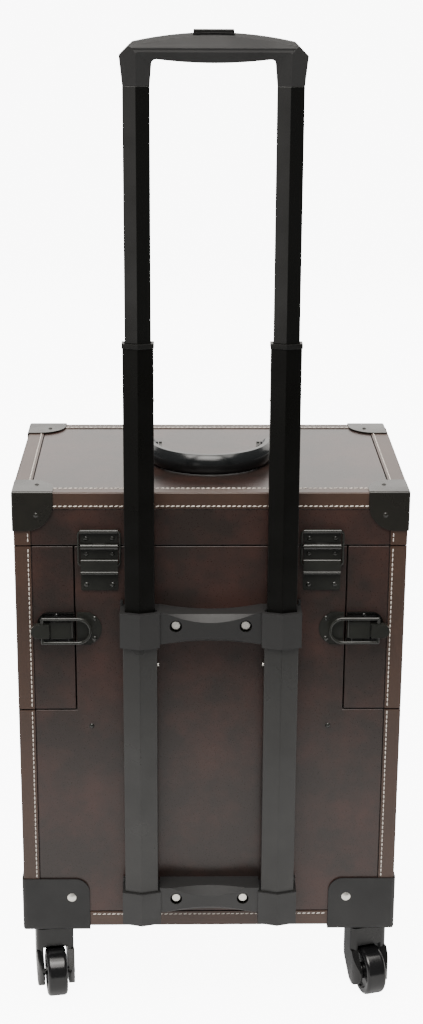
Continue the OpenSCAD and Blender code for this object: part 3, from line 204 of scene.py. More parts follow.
class CaseEdges(bpy.types.PropertyGroup):
    board: length("Boards", "Radius of the lined boards' edges", 0.4)
    bush: length("Bushes and rods", "Radius of the edges inside the trolley's tubes", 0.3)
    leather: length("Leather", "Radius of a panel's turned edges", 0.8)
    binding_fold: length("Binding folds", "Radius of a binding's folded outer edge", 1.6)
    binding: length("Bindings", "Radius of a binding's cut edges", 0.3)
    cap_fold: length("Cap folds", "Radius of a lid cap's outer edges", 1.9)
    cap: length("Caps", "Radius of a lid cap's cut edges", 0.25)
    guard: length("Guards", "Radius of a corner guard's edges", 0.5)
    rivet: length("Rivets", "Radius of a bright rivet's edges", 0.3)
    screw: length("Screws and studs", "Radius of the edges of screws and studs", 0.1)
    fixed_tube: length("Fixed tubes", "Radius of the outer tubes' edges", 0.7)
    sliding_tube: length("Sliding tubes", "Radius of the middle and upper tubes' edges", 0.6)
    collar: length("Collars", "Radius of the tube collars' edges", 0.5)
    bracket: length("Brackets", "Radius of the trolley brackets' edges", 1.0)
    grip: length("Grip", "Radius of the grip's edges", 0.3)
    button: length("Button", "Radius of the release button's edges", 0.8)
    fitting: length("Fittings", "Radius of the edges of hinges and latches", 0.35)
    carry_handle: length("Carry handle", "Radius of the carry handle's edges", 0.8)
    handle_bracket: length("Handle brackets", "Radius of the handle brackets' edges", 0.5)
    fork: length("Forks", "Radius of a castor fork's edges", 2.0)
    wheel: length("Wheels", "Radius of a wheel's edges", 0.5)


class StageSettings(bpy.types.PropertyGroup):
    front: power("Front light", "Power of the softbox above the camera", 80)
    side: power("Side light", "Power of the strip on the left", 4.9)
    top: power("Top light", "Power of the softbox overhead", 60)
    back: power("Back light", "Power of the wide softbox behind the case", 130)
    surround: brightness("Surround", "Brightness of the room's dim walls", 0.15)
    paper: brightness("Paper", "Brightness of the lit white backdrop", 9)
    glow: brightness("Paper glow", "Light that the paper gives the case", 0.45)
    paper_size: length("Paper size", "Side of the floor's paper", 60000)
    paper_front: length("Paper front", "How far the paper reaches before the trolley side", 650)
    lens: FloatProperty(name="Lens", description="Focal length", default=65.18, min=1,
                        unit="CAMERA")


GROUPS = {
    "colours": CaseColours,
    "sizes": CaseSizes,
    "edges": CaseEdges,
    "stage": StageSettings,
}


def settings(group):
    """One of the groups of settings, as the scene holds it."""
    return getattr(bpy.context.scene, "makeup_case_" + group)


# Working by hand: choosing, shaping and finishing pieces


def choose(*pieces):
    """Selects only these objects, the first one active."""
    if bpy.context.object and bpy.context.object.mode != "OBJECT":
        bpy.ops.object.mode_set(mode="OBJECT")
    bpy.ops.object.select_all(action="DESELECT")
    for piece in pieces:
        piece.select_set(True)
    bpy.context.view_layer.objects.active = pieces[0]
    return pieces[0]


def copy_of(node, name, whole=True):
    """A welded copy of a CAD node, its flat faces made whole unless rivets pierce them."""
    piece = bpy.data.objects.new(name, NODES[node].data.copy())
    bpy.context.scene.collection.objects.link(piece)
    choose(piece)
    bpy.ops.object.mode_set(mode="EDIT")
    bpy.ops.mesh.select_all(action="SELECT")
    bpy.ops.mesh.remove_doubles(threshold=WELD)
    bpy.ops.mesh.customdata_custom_splitnormals_clear()
    if whole:
        bpy.ops.mesh.dissolve_limited(angle_limit=math.radians(FLAT_ANGLE))
    bpy.ops.object.mode_set(mode="OBJECT")
    return piece


def on_outer_planes(low, high):
    """A test for edges that lie on two outer planes of a box."""
    planes = [(axis, plane) for axis in range(3) for plane in (low[axis], high[axis])]

    def wanted(a, b, normals):
        return sum(abs(a[i] - p) < TOUCH and abs(b[i] - p) < TOUCH for i, p in planes) >= 2

    return wanted


def round_edges(piece, wanted, radius, segments, profile=0.5, clamp=True):
    """Bevels the edges that pass the test, which gets an edge's two ends and the normals beside."""
    choose(piece)
    bpy.ops.object.mode_set(mode="EDIT")
    bpy.ops.mesh.select_mode(type="EDGE")
    bpy.ops.mesh.select_all(action="DESELECT")
    bpy.ops.object.mode_set(mode="OBJECT")
    points = piece.data.vertices
    beside = {}
    for face in piece.data.polygons:
        for key in face.edge_keys:
            beside.setdefault(key, []).append(face.normal)
    for edge in piece.data.edges:
        a, b = (points[i].co for i in edge.vertices)
        edge.select = wanted(a, b, beside.get(edge.key, []))
    bpy.ops.object.mode_set(mode="EDIT")
    bpy.ops.mesh.bevel(
        offset=radius, segments=segments, profile=profile, affect="EDGES", clamp_overlap=clamp
    )
    bpy.ops.object.mode_set(mode="OBJECT")


def soften(piece, radius=0.0, segments=2, angle=SHARP_ANGLE, shade=SMOOTH_ANGLE):
    """Breaks every sharp edge with a small bevel, and shades curves smooth and flats flat."""
    choose(piece)
    if radius:
        bpy.ops.object.modifier_add(type="BEVEL")
        bevel = piece.modifiers[-1]
        bevel.width = radius
        bevel.segments = segments
        bevel.limit_method = "ANGLE"
        bevel.angle_limit = math.radians(angle)
        bevel.loop_slide = False
        bpy.ops.object.modifier_apply(modifier=bevel.name)
    bpy.ops.object.shade_smooth_by_angle(angle=math.radians(shade))
    bpy.ops.object.modifier_add(type="WEIGHTED_NORMAL")
    flats = piece.modifiers[-1]
    flats.keep_sharp = True
    bpy.ops.object.modifier_apply(modifier=flats.name)
    return piece


def dress(piece, body, material, slot, *nodes):
    """Gives a finished piece its material and body, and says which CAD nodes it stands for."""
    piece.data.materials.clear()
    piece.data.materials.append(material)
    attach(piece, body)
    if nodes:
        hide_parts(*nodes)


def body_of(node):
    return NODES[node]["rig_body"]


def slot_of(node):
    return next(s["material_slot"] for s in frame["record"]["subparts"] if s["node"] == node)


def dressed_copy(node, material, radius=0.0, segments=2, angle=SHARP_ANGLE, shade=SMOOTH_ANGLE,
                 whole=True):
    """A softened copy of one CAD node in place of it."""
    piece = soften(copy_of(node, node + "_finished", whole), radius, segments, angle, shade)
    dress(piece, body_of(node), material, slot_of(node), node)


# Materials


def add_node(tree, kind, inputs=None, **options):
    """Adds a node with its settings; each input is a value or a (node, output) link."""
    node = tree.nodes.new(kind)
    for key, value in options.items():
        setattr(node, key, value)
    for socket, value in (inputs or {}).items():
        if isinstance(value, tuple) and isinstance(value[0], bpy.types.Node):
            tree.links.new(value[0].outputs[value[1]], node.inputs[socket])
        else:
            node.inputs[socket].default_value = value
    return node


# Sockets of a Mix node that blends colours
FACTOR, COLOUR_A, COLOUR_B, BLENDED = 0, 6, 7, 2


def new_material(name):
    """An empty material and its Object coordinates."""
    material = bpy.data.materials.new(name)
    material.use_nodes = True
    tree = material.node_tree
    tree.nodes.clear()
    place = add_node(tree, "ShaderNodeTexCoord")
    return material, tree, (place, "Object")


def shade_of(rgba, scale):
    """A colour made darker or lighter."""
    return tuple(min(1, c * scale) for c in rgba[:3]) + (1,)


def leather_material(name, face, flush, crease_shade, grain, roughness):
    """Embossed split leather: rounded pebbles, their creases darkened with painted shade, a soft
    polish and uneven dye.
    """
    material, tree, place = new_material(name)
    pebbles = add_node(tree, "ShaderNodeTexVoronoi",
                       {"Vector": place, "Scale": 1 / grain, "Randomness": 0.95},
                       feature="DISTANCE_TO_EDGE")
    # Dye that took unevenly, in clouds of about 60 mm and finer ones inside them
    cloud = add_node(tree, "ShaderNodeTexNoise",
                     {"Vector": place, "Scale": 1 / (60 * MM), "Detail": 4.0, "Roughness": 0.65})
    dye = add_node(tree, "ShaderNodeMapRange",
                   {"Value": (cloud, "Fac"), "From Min": 0.42, "From Max": 0.66})
    tone = add_node(tree, "ShaderNodeMix",
                    {FACTOR: (dye, "Result"), COLOUR_A: face, COLOUR_B: flush}, data_type="RGBA")
    # Painted shade: the creases round the pebbles are darkened, as shadow would darken them
    crease_shade_mask = add_node(tree, "ShaderNodeMapRange",
                      {"Value": (pebbles, "Distance"), "From Max": 0.16, "To Min": 0.12,
                       "To Max": 0.0})
    dyed_and_shaded = add_node(tree, "ShaderNodeMix",
                       {FACTOR: (crease_shade_mask, "Result"), COLOUR_A: (tone, BLENDED), COLOUR_B: crease_shade},
                       data_type="RGBA")
    # Pores, a little over a third of a pebble wide, roughen the polish
    fine = add_node(tree, "ShaderNodeTexNoise",
                    {"Vector": place, "Scale": 2.6 / grain, "Detail": 3.0})
    polish = add_node(tree, "ShaderNodeMapRange",
                      {"Value": (fine, "Fac"), "To Min": roughness - 0.02,
                       "To Max": roughness + 0.02})
    relief = add_node(tree, "ShaderNodeMapRange",
                      {"Value": (pebbles, "Distance"), "From Max": 0.22})
    height = add_node(tree, "ShaderNodeMath", {0: (relief, "Result"), 1: (fine, "Fac")},
                      operation="ADD")
    bump = add_node(tree, "ShaderNodeBump",
                    {"Height": (height, "Value"), "Strength": 0.06, "Distance": 0.25 * MM})
    shader = add_node(tree, "ShaderNodeBsdfPrincipled",
                      {"Base Color": (dyed_and_shaded, BLENDED), "Roughness": (polish, "Result"),
                       "Normal": (bump, "Normal"), "IOR": 1.5})
    add_node(tree, "ShaderNodeOutputMaterial", {"Surface": (shader, "BSDF")})
    return material


def coated_material(name, base, roughness, grit, metallic=0.0, strength=0.12, spread=0.07,
                    shift=0.25, ior=1.5):
    """A sprayed, moulded or plated skin: fine grit and slightly uneven gloss and tone."""
    material, tree, place = new_material(name)
    grains = add_node(tree, "ShaderNodeTexNoise",
                      {"Vector": place, "Scale": 1 / grit, "Detail": 2.0})
    # Tone and gloss that drift over about 36 mm
    cloud = add_node(tree, "ShaderNodeTexNoise",
                     {"Vector": place, "Scale": 1 / (36 * MM), "Detail": 4.0})
    drift = add_node(tree, "ShaderNodeMapRange",
                     {"Value": (cloud, "Fac"), "From Min": 0.3, "From Max": 0.7})
    tone = add_node(tree, "ShaderNodeMix",
                    {FACTOR: (drift, "Result"), COLOUR_A: shade_of(base, 1 - shift),
                     COLOUR_B: shade_of(base, 1 + shift)}, data_type="RGBA")
    polish = add_node(tree, "ShaderNodeMapRange",
                      {"Value": (drift, "Result"), "To Min": roughness + spread,
                       "To Max": roughness - spread})
    bump = add_node(tree, "ShaderNodeBump",
                    {"Height": (grains, "Fac"), "Strength": strength, "Distance": 0.2 * MM})
    shader = add_node(tree, "ShaderNodeBsdfPrincipled",
                      {"Base Color": (tone, BLENDED), "Roughness": (polish, "Result"),
                       "Normal": (bump, "Normal"), "Metallic": metallic, "IOR": ior})
    add_node(tree, "ShaderNodeOutputMaterial", {"Surface": (shader, "BSDF")})
    return material


def thread_material(name, base):
    """Waxed polyester thread: pale and faintly fuzzy, with the twist of its plies, their grooves
    darkened with painted shade.
    """
    material, tree, place = new_material(name)
    # Plies about 0.75 mm apart, coarser than real thread so that they show
    plies = add_node(tree, "ShaderNodeTexWave",
                     {"Vector": place, "Scale": WAVE_PERIOD / (0.75 * MM), "Distortion": 0.6},
                     bands_direction="DIAGONAL")
    # Painted shade: the grooves between the plies, where the bump sinks, are darker
    tone = add_node(tree, "ShaderNodeMix",
                    {FACTOR: (plies, "Fac"), COLOUR_A: shade_of(base, 0.85), COLOUR_B: base},
                    data_type="RGBA")
    bump = add_node(tree, "ShaderNodeBump",
                    {"Height": (plies, "Fac"), "Strength": 0.3, "Distance": 0.2 * MM})
    shader = add_node(tree, "ShaderNodeBsdfPrincipled",
                      {"Base Color": (tone, BLENDED), "Normal": (bump, "Normal"),
                       "Roughness": 0.7})
    add_node(tree, "ShaderNodeOutputMaterial", {"Surface": (shader, "BSDF")})
    return material


def lining_material(name, base):
    """Flocked lining paper over fibreboard: matt, with a short random nap."""
    material, tree, place = new_material(name)
    nap = add_node(tree, "ShaderNodeTexNoise",
                   {"Vector": place, "Scale": 1 / (1.1 * MM), "Detail": 3.0})
    tone = add_node(tree, "ShaderNodeMix",
                    {FACTOR: (nap, "Fac"), COLOUR_A: base, COLOUR_B: shade_of(base, 1.5)},
                    data_type="RGBA")
    bump = add_node(tree, "ShaderNodeBump",
                    {"Height": (nap, "Fac"), "Strength": 0.4, "Distance": 0.3 * MM})
    shader = add_node(tree, "ShaderNodeBsdfPrincipled",
                      {"Base Color": (tone, BLENDED), "Normal": (bump, "Normal"),
                       "Roughness": 0.9})
    add_node(tree, "ShaderNodeOutputMaterial", {"Surface": (shader, "BSDF")})
    return material


def paper_material(name, base, glow, white):
    """Seamless studio paper, lit from behind so that it reads white around the case."""
    material, tree, place = new_material(name)
    fibre = add_node(tree, "ShaderNodeTexNoise",
                     {"Vector": place, "Scale": 1 / (4 * MM), "Detail": 2.0})
    tone = add_node(tree, "ShaderNodeMix",
                    {FACTOR: (fibre, "Fac"), COLOUR_A: shade_of(base, 0.98), COLOUR_B: base},
                    data_type="RGBA")
    seen = add_node(tree, "ShaderNodeLightPath")
    lit = add_node(tree, "ShaderNodeMapRange",
                   {"Value": (seen, "Is Camera Ray"), "To Min": glow, "To Max": white})
    shader = add_node(tree, "ShaderNodeBsdfPrincipled",
                      {"Base Color": (tone, BLENDED), "Roughness": 0.9,
                       "Emission Color": (1, 1, 1, 1), "Emission Strength": (lit, "Result")})
    add_node(tree, "ShaderNodeOutputMaterial", {"Surface": (shader, "BSDF")})
    return material


# Leathers: the colour, the grain's share of the width that is set, and the roughness
LEATHERS = {
    # Brown-black pebbles with redder clouds and a soft polish
    "embossed panel leather": ("leather", 1.0, 0.28),
    # Browner, finer and duller, as leather is where it is folded and sewn
    "embossed binding leather": ("binding", 0.8, 0.36),
}

# Coats: the colour, the roughness, the grit's width in millimetres, coarser than the real one so
# that it shows, and what else sets the coat apart
COATS = {
    # Smooth and wet-looking, with clear reflections of the lamps
    "stoved black enamel": ("enamel", 0.15, 1.2, {"strength": 0.03, "spread": 0.04}),
    # As glossy, in a deeper black: painted shade, darkening the latches' base plates round the
    # levers as shadow would
    "dipped black lacquer": ("lacquer", 0.15, 1.2, {"strength": 0.03, "spread": 0.04}),
    # Glossy, with a faint orange peel
    "sprayed cap enamel": ("cap", 0.24, 1.2, {"strength": 0.05}),
    # Dull dark grey with an even grit
    "moulded charcoal ABS": ("charcoal", 0.43, 0.9, {"shift": 0.1}),
    # Matt black, a little cloudy
    "moulded guard polypropylene": ("guard", 0.5, 0.9, {"shift": 0.15}),
    # The mattest moulding, so that its planes read by light alone
    "moulded grip ABS": ("grip", 0.55, 0.9, {"shift": 0.1, "ior": 1.42}),
    # Half glossy, so that the forks' curves catch long highlights
    "moulded castor nylon": ("castor", 0.26, 0.9, {"strength": 0.06}),
    # Near black, dull and slightly uneven
    "moulded black nylon": ("black_tube", 0.42, 0.9, {}),
    # Dark grey with a soft sheen along the tube
    "charcoal powder coat": ("fixed_tube", 0.32, 0.8, {"shift": 0.1}),
    # Near black with a sharper sheen
    "black powder coat": ("black_tube", 0.22, 0.8, {"strength": 0.06, "shift": 0.12}),
    # Near black with a faint sheen, as dyed oxide has
    "dyed black anodising": ("black_tube", 0.3, 0.8,
                             {"strength": 0.06, "shift": 0.12, "ior": 1.3}),
    # Bright and softly blurred, as on tumbled rivets
    "plated nickel": ("nickel", 0.4, 1.5, {"metallic": 1.0, "strength": 0.03, "shift": 0.05}),
    # Glossy black with one broad highlight
    "polished black ABS": ("gloss", 0.2, 2.5, {"strength": 0.04, "spread": 0.04}),
    # Hard and shiny, as new treads are
    "moulded wheel rubber": ("tyre", 0.18, 1.4, {"strength": 0.05, "spread": 0.05}),
}

# Finishes that their own function describes, with the colour
CLOTHS = {
    "waxed polyester thread": (thread_material, "thread"),
    "flocked lining paper": (lining_material, "lining"),
}


def make_finish(name):
    """A new material of that finish in the colours that are set."""
    colours = settings("colours")
    rgba = {key: tuple(getattr(colours, key)) for key in CaseColours.__annotations__}
    title = name[0].upper() + name[1:]
    if name in LEATHERS:
        key, share, roughness = LEATHERS[name]
        # The crease colour is painted shade in the grain's creases
        return leather_material(title, rgba[key], rgba[key + "_flush"], rgba[key + "_crease"],
                                settings("sizes").grain * share, roughness)
    if name in COATS:
        key, roughness, grit, other = COATS[name]
        return coated_material(title, rgba[key], roughness, grit * MM, **other)
    maker, key = CLOTHS[name]
    return maker(title, rgba[key])


FINISHES = {}


def finish(name):
    """The named finish, made the first time it is asked for."""
    if name not in FINISHES:
        FINISHES[name] = make_finish(name)
    return FINISHES[name]


# Pieces


class CaseOperator:
    """Shared settings of the operators that build the case."""

    bl_options = {"REGISTER", "UNDO"}


class MAKEUPCASE_OT_boards(CaseOperator, bpy.types.Operator):
    """Lines the boards and finishes the hidden trolley pieces"""

    bl_idname = "makeupcase.boards"
    bl_label = "Boards and Lining"

    def execute(self, context):
        edges = settings("edges")
        for node in ("base_floor", "base_rear_panel", "base_front_panel", "base_side_panels",
                     "tower_walls", "lid_panel", "lid_walls", "left_wing_box", "right_wing_box"):
            dressed_copy(node, finish("flocked lining paper"), edges.board)
        for node in ("middle_bushes", "upper_bushes"):
            dressed_copy(node, finish("moulded black nylon"), edges.bush)
        dressed_copy("push_rods", finish("plated nickel"), edges.bush)
        return {"FINISHED"}


class MAKEUPCASE_OT_leather(CaseOperator, bpy.types.Operator):
    """Covers the boards with grained leather, its cut edges turned over a little"""

    bl_idname = "makeupcase.leather"
    bl_label = "Leather Panels"

    def execute(self, context):
        edges = settings("edges")
        for node in ("base_leather", "lid_leather", "left_wing_leather", "right_wing_leather"):
            dressed_copy(node, finish("embossed panel leather"), edges.leather, segments=3)
        return {"FINISHED"}


class MAKEUPCASE_OT_bindings(CaseOperator, bpy.types.Operator):
    """Folds the edge bindings round the case's corners"""

    bl_idname = "makeupcase.bindings"
    bl_label = "Edge Bindings"

    def execute(self, context):
        edges = settings("edges")
        leather = finish("embossed binding leather")
        for node in ("base_edge_binding", "lid_edge_binding", "left_wing_binding",
                     "right_wing_binding"):
            piece = copy_of(node, node + "_finished")
            corners = on_outer_planes(BASE_LOW, CASE_HIGH)
            round_edges(piece, corners, edges.binding_fold, segments=4)
            soften(piece, edges.binding)
            dress(piece, body_of(node), leather, slot_of(node), node)
        return {"FINISHED"}


def stitch_run(start, end, normal, lean):
    """One row of stitches from start to end, half sunk in the face with that normal."""
    sizes = settings("sizes")
    along = (end - start).normalized()
    across = normal.cross(along)
    count = max(1, int((end - start).length / sizes.stitch_pitch))
    spare = (end - start).length - (count - 1) * sizes.stitch_pitch
    bpy.ops.object.select_all(action="DESELECT")
    bpy.ops.mesh.primitive_uv_sphere_add(segments=8, ring_count=5, radius=1)
    stitch = bpy.context.object
    turn = Matrix.Rotation(lean, 3, normal)
    axes = Matrix((turn @ across * sizes.stitch_width / 2, normal * sizes.stitch_width / 2,
                   turn @ along * sizes.stitch / 2)).transposed()
    stitch.matrix_world = Matrix.Translation(start + along * spare / 2) @ axes.to_4x4()
    bpy.ops.object.transform_apply(location=True, rotation=True, scale=True)
    bpy.ops.object.modifier_add(type="ARRAY")
    row = stitch.modifiers[-1]
    row.use_relative_offset = False
    row.use_constant_offset = True
    row.constant_offset_displace = along * sizes.stitch_pitch
    row.count = count
    bpy.ops.object.modifier_apply(modifier=row.name)
    return stitch


def upright_runs(z0, z1, corners):
    """Two rows up each corner, one on each face beside it."""
    inset = settings("sizes").stitch_inset
    for sx, sy in corners:
        x = BASE_HIGH.x * sx
        y = BASE_HIGH.y if sy > 0 else BASE_LOW.y
        sides = ((x - sx * inset, y, (0, sy, 0)), (x, y - sy * inset, (sx, 0, 0)))
        for at_x, at_y, normal in sides:
            yield Vector((at_x, at_y, z0)), Vector((at_x, at_y, z1)), Vector(normal), 0.0


def level_runs(z, faces, x_end, y_end, inward=0.0):
    """Rows along the rear, front and side faces at height z, or on top where inward is given."""
    middle = (BASE_LOW.y + BASE_HIGH.y) / 2
    for sx, sy in faces:
        normal = Vector((0, 0, 1)) if inward else Vector((sx, sy, 0))
        if sy:
            y = (BASE_HIGH.y if sy > 0 else BASE_LOW.y) - sy * inward
            start, end = Vector((-x_end, y, z)), Vector((x_end, y, z))
        else:
            x = BASE_HIGH.x * sx - sx * inward
            start, end = Vector((x, middle - y_end, z)), Vector((x, middle + y_end, z))
        yield start, end, normal, STITCH_LEAN


class MAKEUPCASE_OT_stitching(CaseOperator, bpy.types.Operator):
    """Sews the bindings down with rows of pale stitches"""

    bl_idname = "makeupcase.stitching"
    bl_label = "Stitching"

    def execute(self, context):
        inset = settings("sizes").stitch_inset
        corners = [(sx, sy) for sx in (-1, 1) for sy in (-1, 1)]
        faces = [(0, -1), (0, 1), (-1, 0), (1, 0)]
        half_w = BASE_HIGH.x
        half_d = (BASE_HIGH.y - BASE_LOW.y) / 2
        low_ends = (half_w - GUARD_REACH - GUARD_CLEAR, half_d - GUARD_REACH - GUARD_CLEAR)
        lid_ends = (half_w - CAP_REACH, half_d - CAP_REACH)
        guard_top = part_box("corner_guards")[1].z
        cap_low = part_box("lid_corner_caps")[0].z
        rows = {
            "case": [
                *upright_runs(guard_top + SEAM_CLEAR, BASE_HIGH.z - SEAM_CLEAR, corners),
                *level_runs(BASE_LOW.z + inset, faces, *low_ends),
            ],
            "lid": [
                *upright_runs(LID_LOW.z + SEAM_CLEAR, cap_low - CAP_CLEAR, corners),
                *level_runs(LID_HIGH.z - inset, faces, *lid_ends),
                *level_runs(LID_HIGH.z, faces, *lid_ends, inset),
            ],
        }
        for side, sx in zip(SIDES, (-1, 1)):
            beside = [corner for corner in corners if corner[0] == sx]
            rows[side + "_wing"] = upright_runs(WING_LOW.z + SEAM_CLEAR, WING_HIGH.z - SEAM_CLEAR,
                                                beside)
        for body, runs in rows.items():
            whole = choose(*[stitch_run(*run) for run in runs])
            bpy.ops.object.join()
            whole.name = body + "_stitching"
            soften(whole, shade=WIRE_ANGLE)
            dress(whole, body, finish("waxed polyester thread"), "binding")
        return {"FINISHED"}


class MAKEUPCASE_OT_corners(CaseOperator, bpy.types.Operator):
    """Presses the lid's corner caps and moulds the corner guards"""

    bl_idname = "makeupcase.corners"
    bl_label = "Caps and Guards"

    def execute(self, context):
        edges = settings("edges")
        caps = copy_of("lid_corner_caps", "lid_corner_caps_finished")
        low = Vector((BASE_LOW.x - CAP_WALL, BASE_LOW.y - CAP_WALL, BASE_LOW.z))
        high = CASE_HIGH + Vector((CAP_WALL, CAP_WALL, CAP_WALL))
        round_edges(caps, on_outer_planes(low, high), edges.cap_fold, segments=4)
        soften(caps, edges.cap)
        dress(caps, "lid", finish("sprayed cap enamel"), "black_metal", "lid_corner_caps")
        dressed_copy("corner_guards", finish("moulded guard polypropylene"), edges.guard)
        return {"FINISHED"}


class MAKEUPCASE_OT_rivets(CaseOperator, bpy.types.Operator):
    """Sets the bright rivets and studs and the small black screws"""

    bl_idname = "makeupcase.rivets"
    bl_label = "Rivets and Screws"

    def execute(self, context):
        edges = settings("edges")
        dressed_copy("bright_rivets", finish("plated nickel"), edges.rivet)
        dressed_copy("middle_studs", finish("plated nickel"), edges.screw)
        dressed_copy("case_screws", finish("stoved black enamel"), edges.screw)
        return {"FINISHED"}


class MAKEUPCASE_OT_trolley(CaseOperator, bpy.types.Operator):
    """Draws the trolley's tubes and moulds its brackets, collars, grip and button"""

    bl_idname = "makeupcase.trolley"
    bl_label = "Trolley"

    def execute(self, context):
        edges = settings("edges")
        for node, coat, radius, segments in (
            ("outer_tubes", "charcoal powder coat", edges.fixed_tube, 3),
            ("middle_tubes", "dyed black anodising", edges.sliding_tube, 3),
            ("upper_tubes", "black powder coat", edges.sliding_tube, 3),
            ("middle_collars", "moulded black nylon", edges.collar, 2),
            *((bracket, "moulded charcoal ABS", edges.bracket, 3) for bracket in BRACKETS),
        ):
            dressed_copy(node, finish(coat), radius, segments, RIDGE_ANGLE)
        self.mould_grip()
        dressed_copy("release_button", finish("moulded black nylon"), edges.button, segments=3)
        # Painted shade: black cups darken the brackets' rivet wells
        for bracket in BRACKETS:
            self.shade_wells(bracket)
        return {"FINISHED"}

    def mould_grip(self):
        """Chamfers the bar's crown, draws a groove along its ridges and breaks its other edges."""
        sizes = settings("sizes")
        grip = copy_of("grip", "grip_finished")
        half_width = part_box("grip")[1].x
        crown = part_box("grip")[1].z - sizes.grip_crown

        def along_crown(a, b, normals):
            level = any(n.z > LEVEL for n in normals)
            facing = any(abs(n.y) > FACING for n in normals)
            return min(a.z, b.z) > crown and level and facing

        def along_ridge(a, b, normals):
            if abs(a.x - b.x) <= half_width / 2 or min(abs(n.y) for n in normals) <= FACING:
                return False
            slopes = [n.z for n in normals]
            return min(slopes) < -SLOPE and max(slopes) > SLOPE

        round_edges(grip, along_crown, sizes.grip_chamfer, segments=1, clamp=False)
        round_edges(grip, along_ridge, sizes.grip_groove, segments=2, profile=GROOVE_PROFILE,
                    clamp=False)
        soften(grip, settings("edges").grip, angle=RIDGE_ANGLE)
        dress(grip, body_of("grip"), finish("moulded grip ABS"), slot_of("grip"), "grip")

    def shade_wells(self, bracket):
        """Puts black cups in the wells round a bracket's two rivets: painted shade, a dark lining
        that darkens the wells as shadow would.
        """
        sizes = settings("sizes")
        low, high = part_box(bracket)
        heads = [v.co for v in NODES["bright_rivets"].data.vertices
                 if low.z < v.co.z < high.z and abs(v.co.x) < sizes.rivet_reach]
        shade_cups = []
        for side in (-1, 1):
            head = [co for co in heads if co.x * side > 0]
            middle = sum(head, Vector()) / len(head)
            rim = min(co.y for co in head) - sizes.rivet_sunk + sizes.shade_cup_sunk
            bpy.ops.object.select_all(action="DESELECT")
            bpy.ops.mesh.primitive_cylinder_add(
                vertices=48, radius=sizes.cup, depth=sizes.shade_cup_depth, end_fill_type="NOTHING",
                location=(middle.x, rim + sizes.shade_cup_depth / 2, middle.z),
                rotation=(math.pi / 2, 0, 0))
            bpy.ops.object.transform_apply(location=True, rotation=True, scale=True)
            shade_cups.append(bpy.context.object)
        whole = choose(*shade_cups)
        bpy.ops.object.join()
        whole.name = bracket + "_rivet_cups"
        bpy.ops.object.modifier_add(type="SOLIDIFY")
        wall = whole.modifiers[-1]
        wall.thickness = sizes.shade_cup_wall
        bpy.ops.object.modifier_apply(modifier=wall.name)
        soften(whole)
        dress(whole, body_of(bracket), finish("dyed black anodising"), "black_metal")


class MAKEUPCASE_OT_fittings(CaseOperator, bpy.types.Operator):
    """Presses the stay hinges, wing latches, wing hinges and lid hasps"""

    bl_idname = "makeupcase.fittings"
    bl_label = "Hinges and Latches"

    def execute(self, context):
        edges = settings("edges")
        enamel = finish("stoved black enamel")
        for node in ("hinge_case_leaves", "hinge_lid_leaves", "wing_latch_catches",
                     "lid_latch_bases", "wing_hinge_leaves", "lid_hasp_plates", "left_latch_lever",
                     "right_latch_lever", "left_lid_hasp", "right_lid_hasp"):
            dressed_copy(node, enamel, edges.fitting, whole=False)
        # Painted shade: the wing hardware takes a darker copy of the enamel
        for node in ("left_wing_hardware", "right_wing_hardware"):
            dressed_copy(node, finish("dipped black lacquer"), edges.fitting, whole=False)
        for node in ("left_stay_wire", "right_stay_wire", "left_latch_bail", "right_latch_bail"):
            dressed_copy(node, enamel, shade=WIRE_ANGLE)
        return {"FINISHED"}


class MAKEUPCASE_OT_carry_handle(CaseOperator, bpy.types.Operator):
    """Moulds the carry handle and its brackets"""

    bl_idname = "makeupcase.carry_handle"
    bl_label = "Carry Handle"

    def execute(self, context):
        edges = settings("edges")
        dressed_copy("carry_handle", finish("polished black ABS"), edges.carry_handle,
                     segments=3, shade=HANDLE_ANGLE)
        dressed_copy("carry_handle_brackets", finish("stoved black enamel"), edges.handle_bracket)
        return {"FINISHED"}


class MAKEUPCASE_OT_castors(CaseOperator, bpy.types.Operator):
    """Moulds the castor forks and the wheels"""

    bl_idname = "makeupcase.castors"
    bl_label = "Castors"

    def execute(self, context):
        edges = settings("edges")
        for end in ENDS:
            for side in SIDES:
                castor = f"{end}_{side}"
                dressed_copy(castor + "_fork", finish("moulded castor nylon"), edges.fork,
                             segments=4)
                dressed_copy(castor + "_wheel", finish("moulded wheel rubber"), edges.wheel)
        return {"FINISHED"}


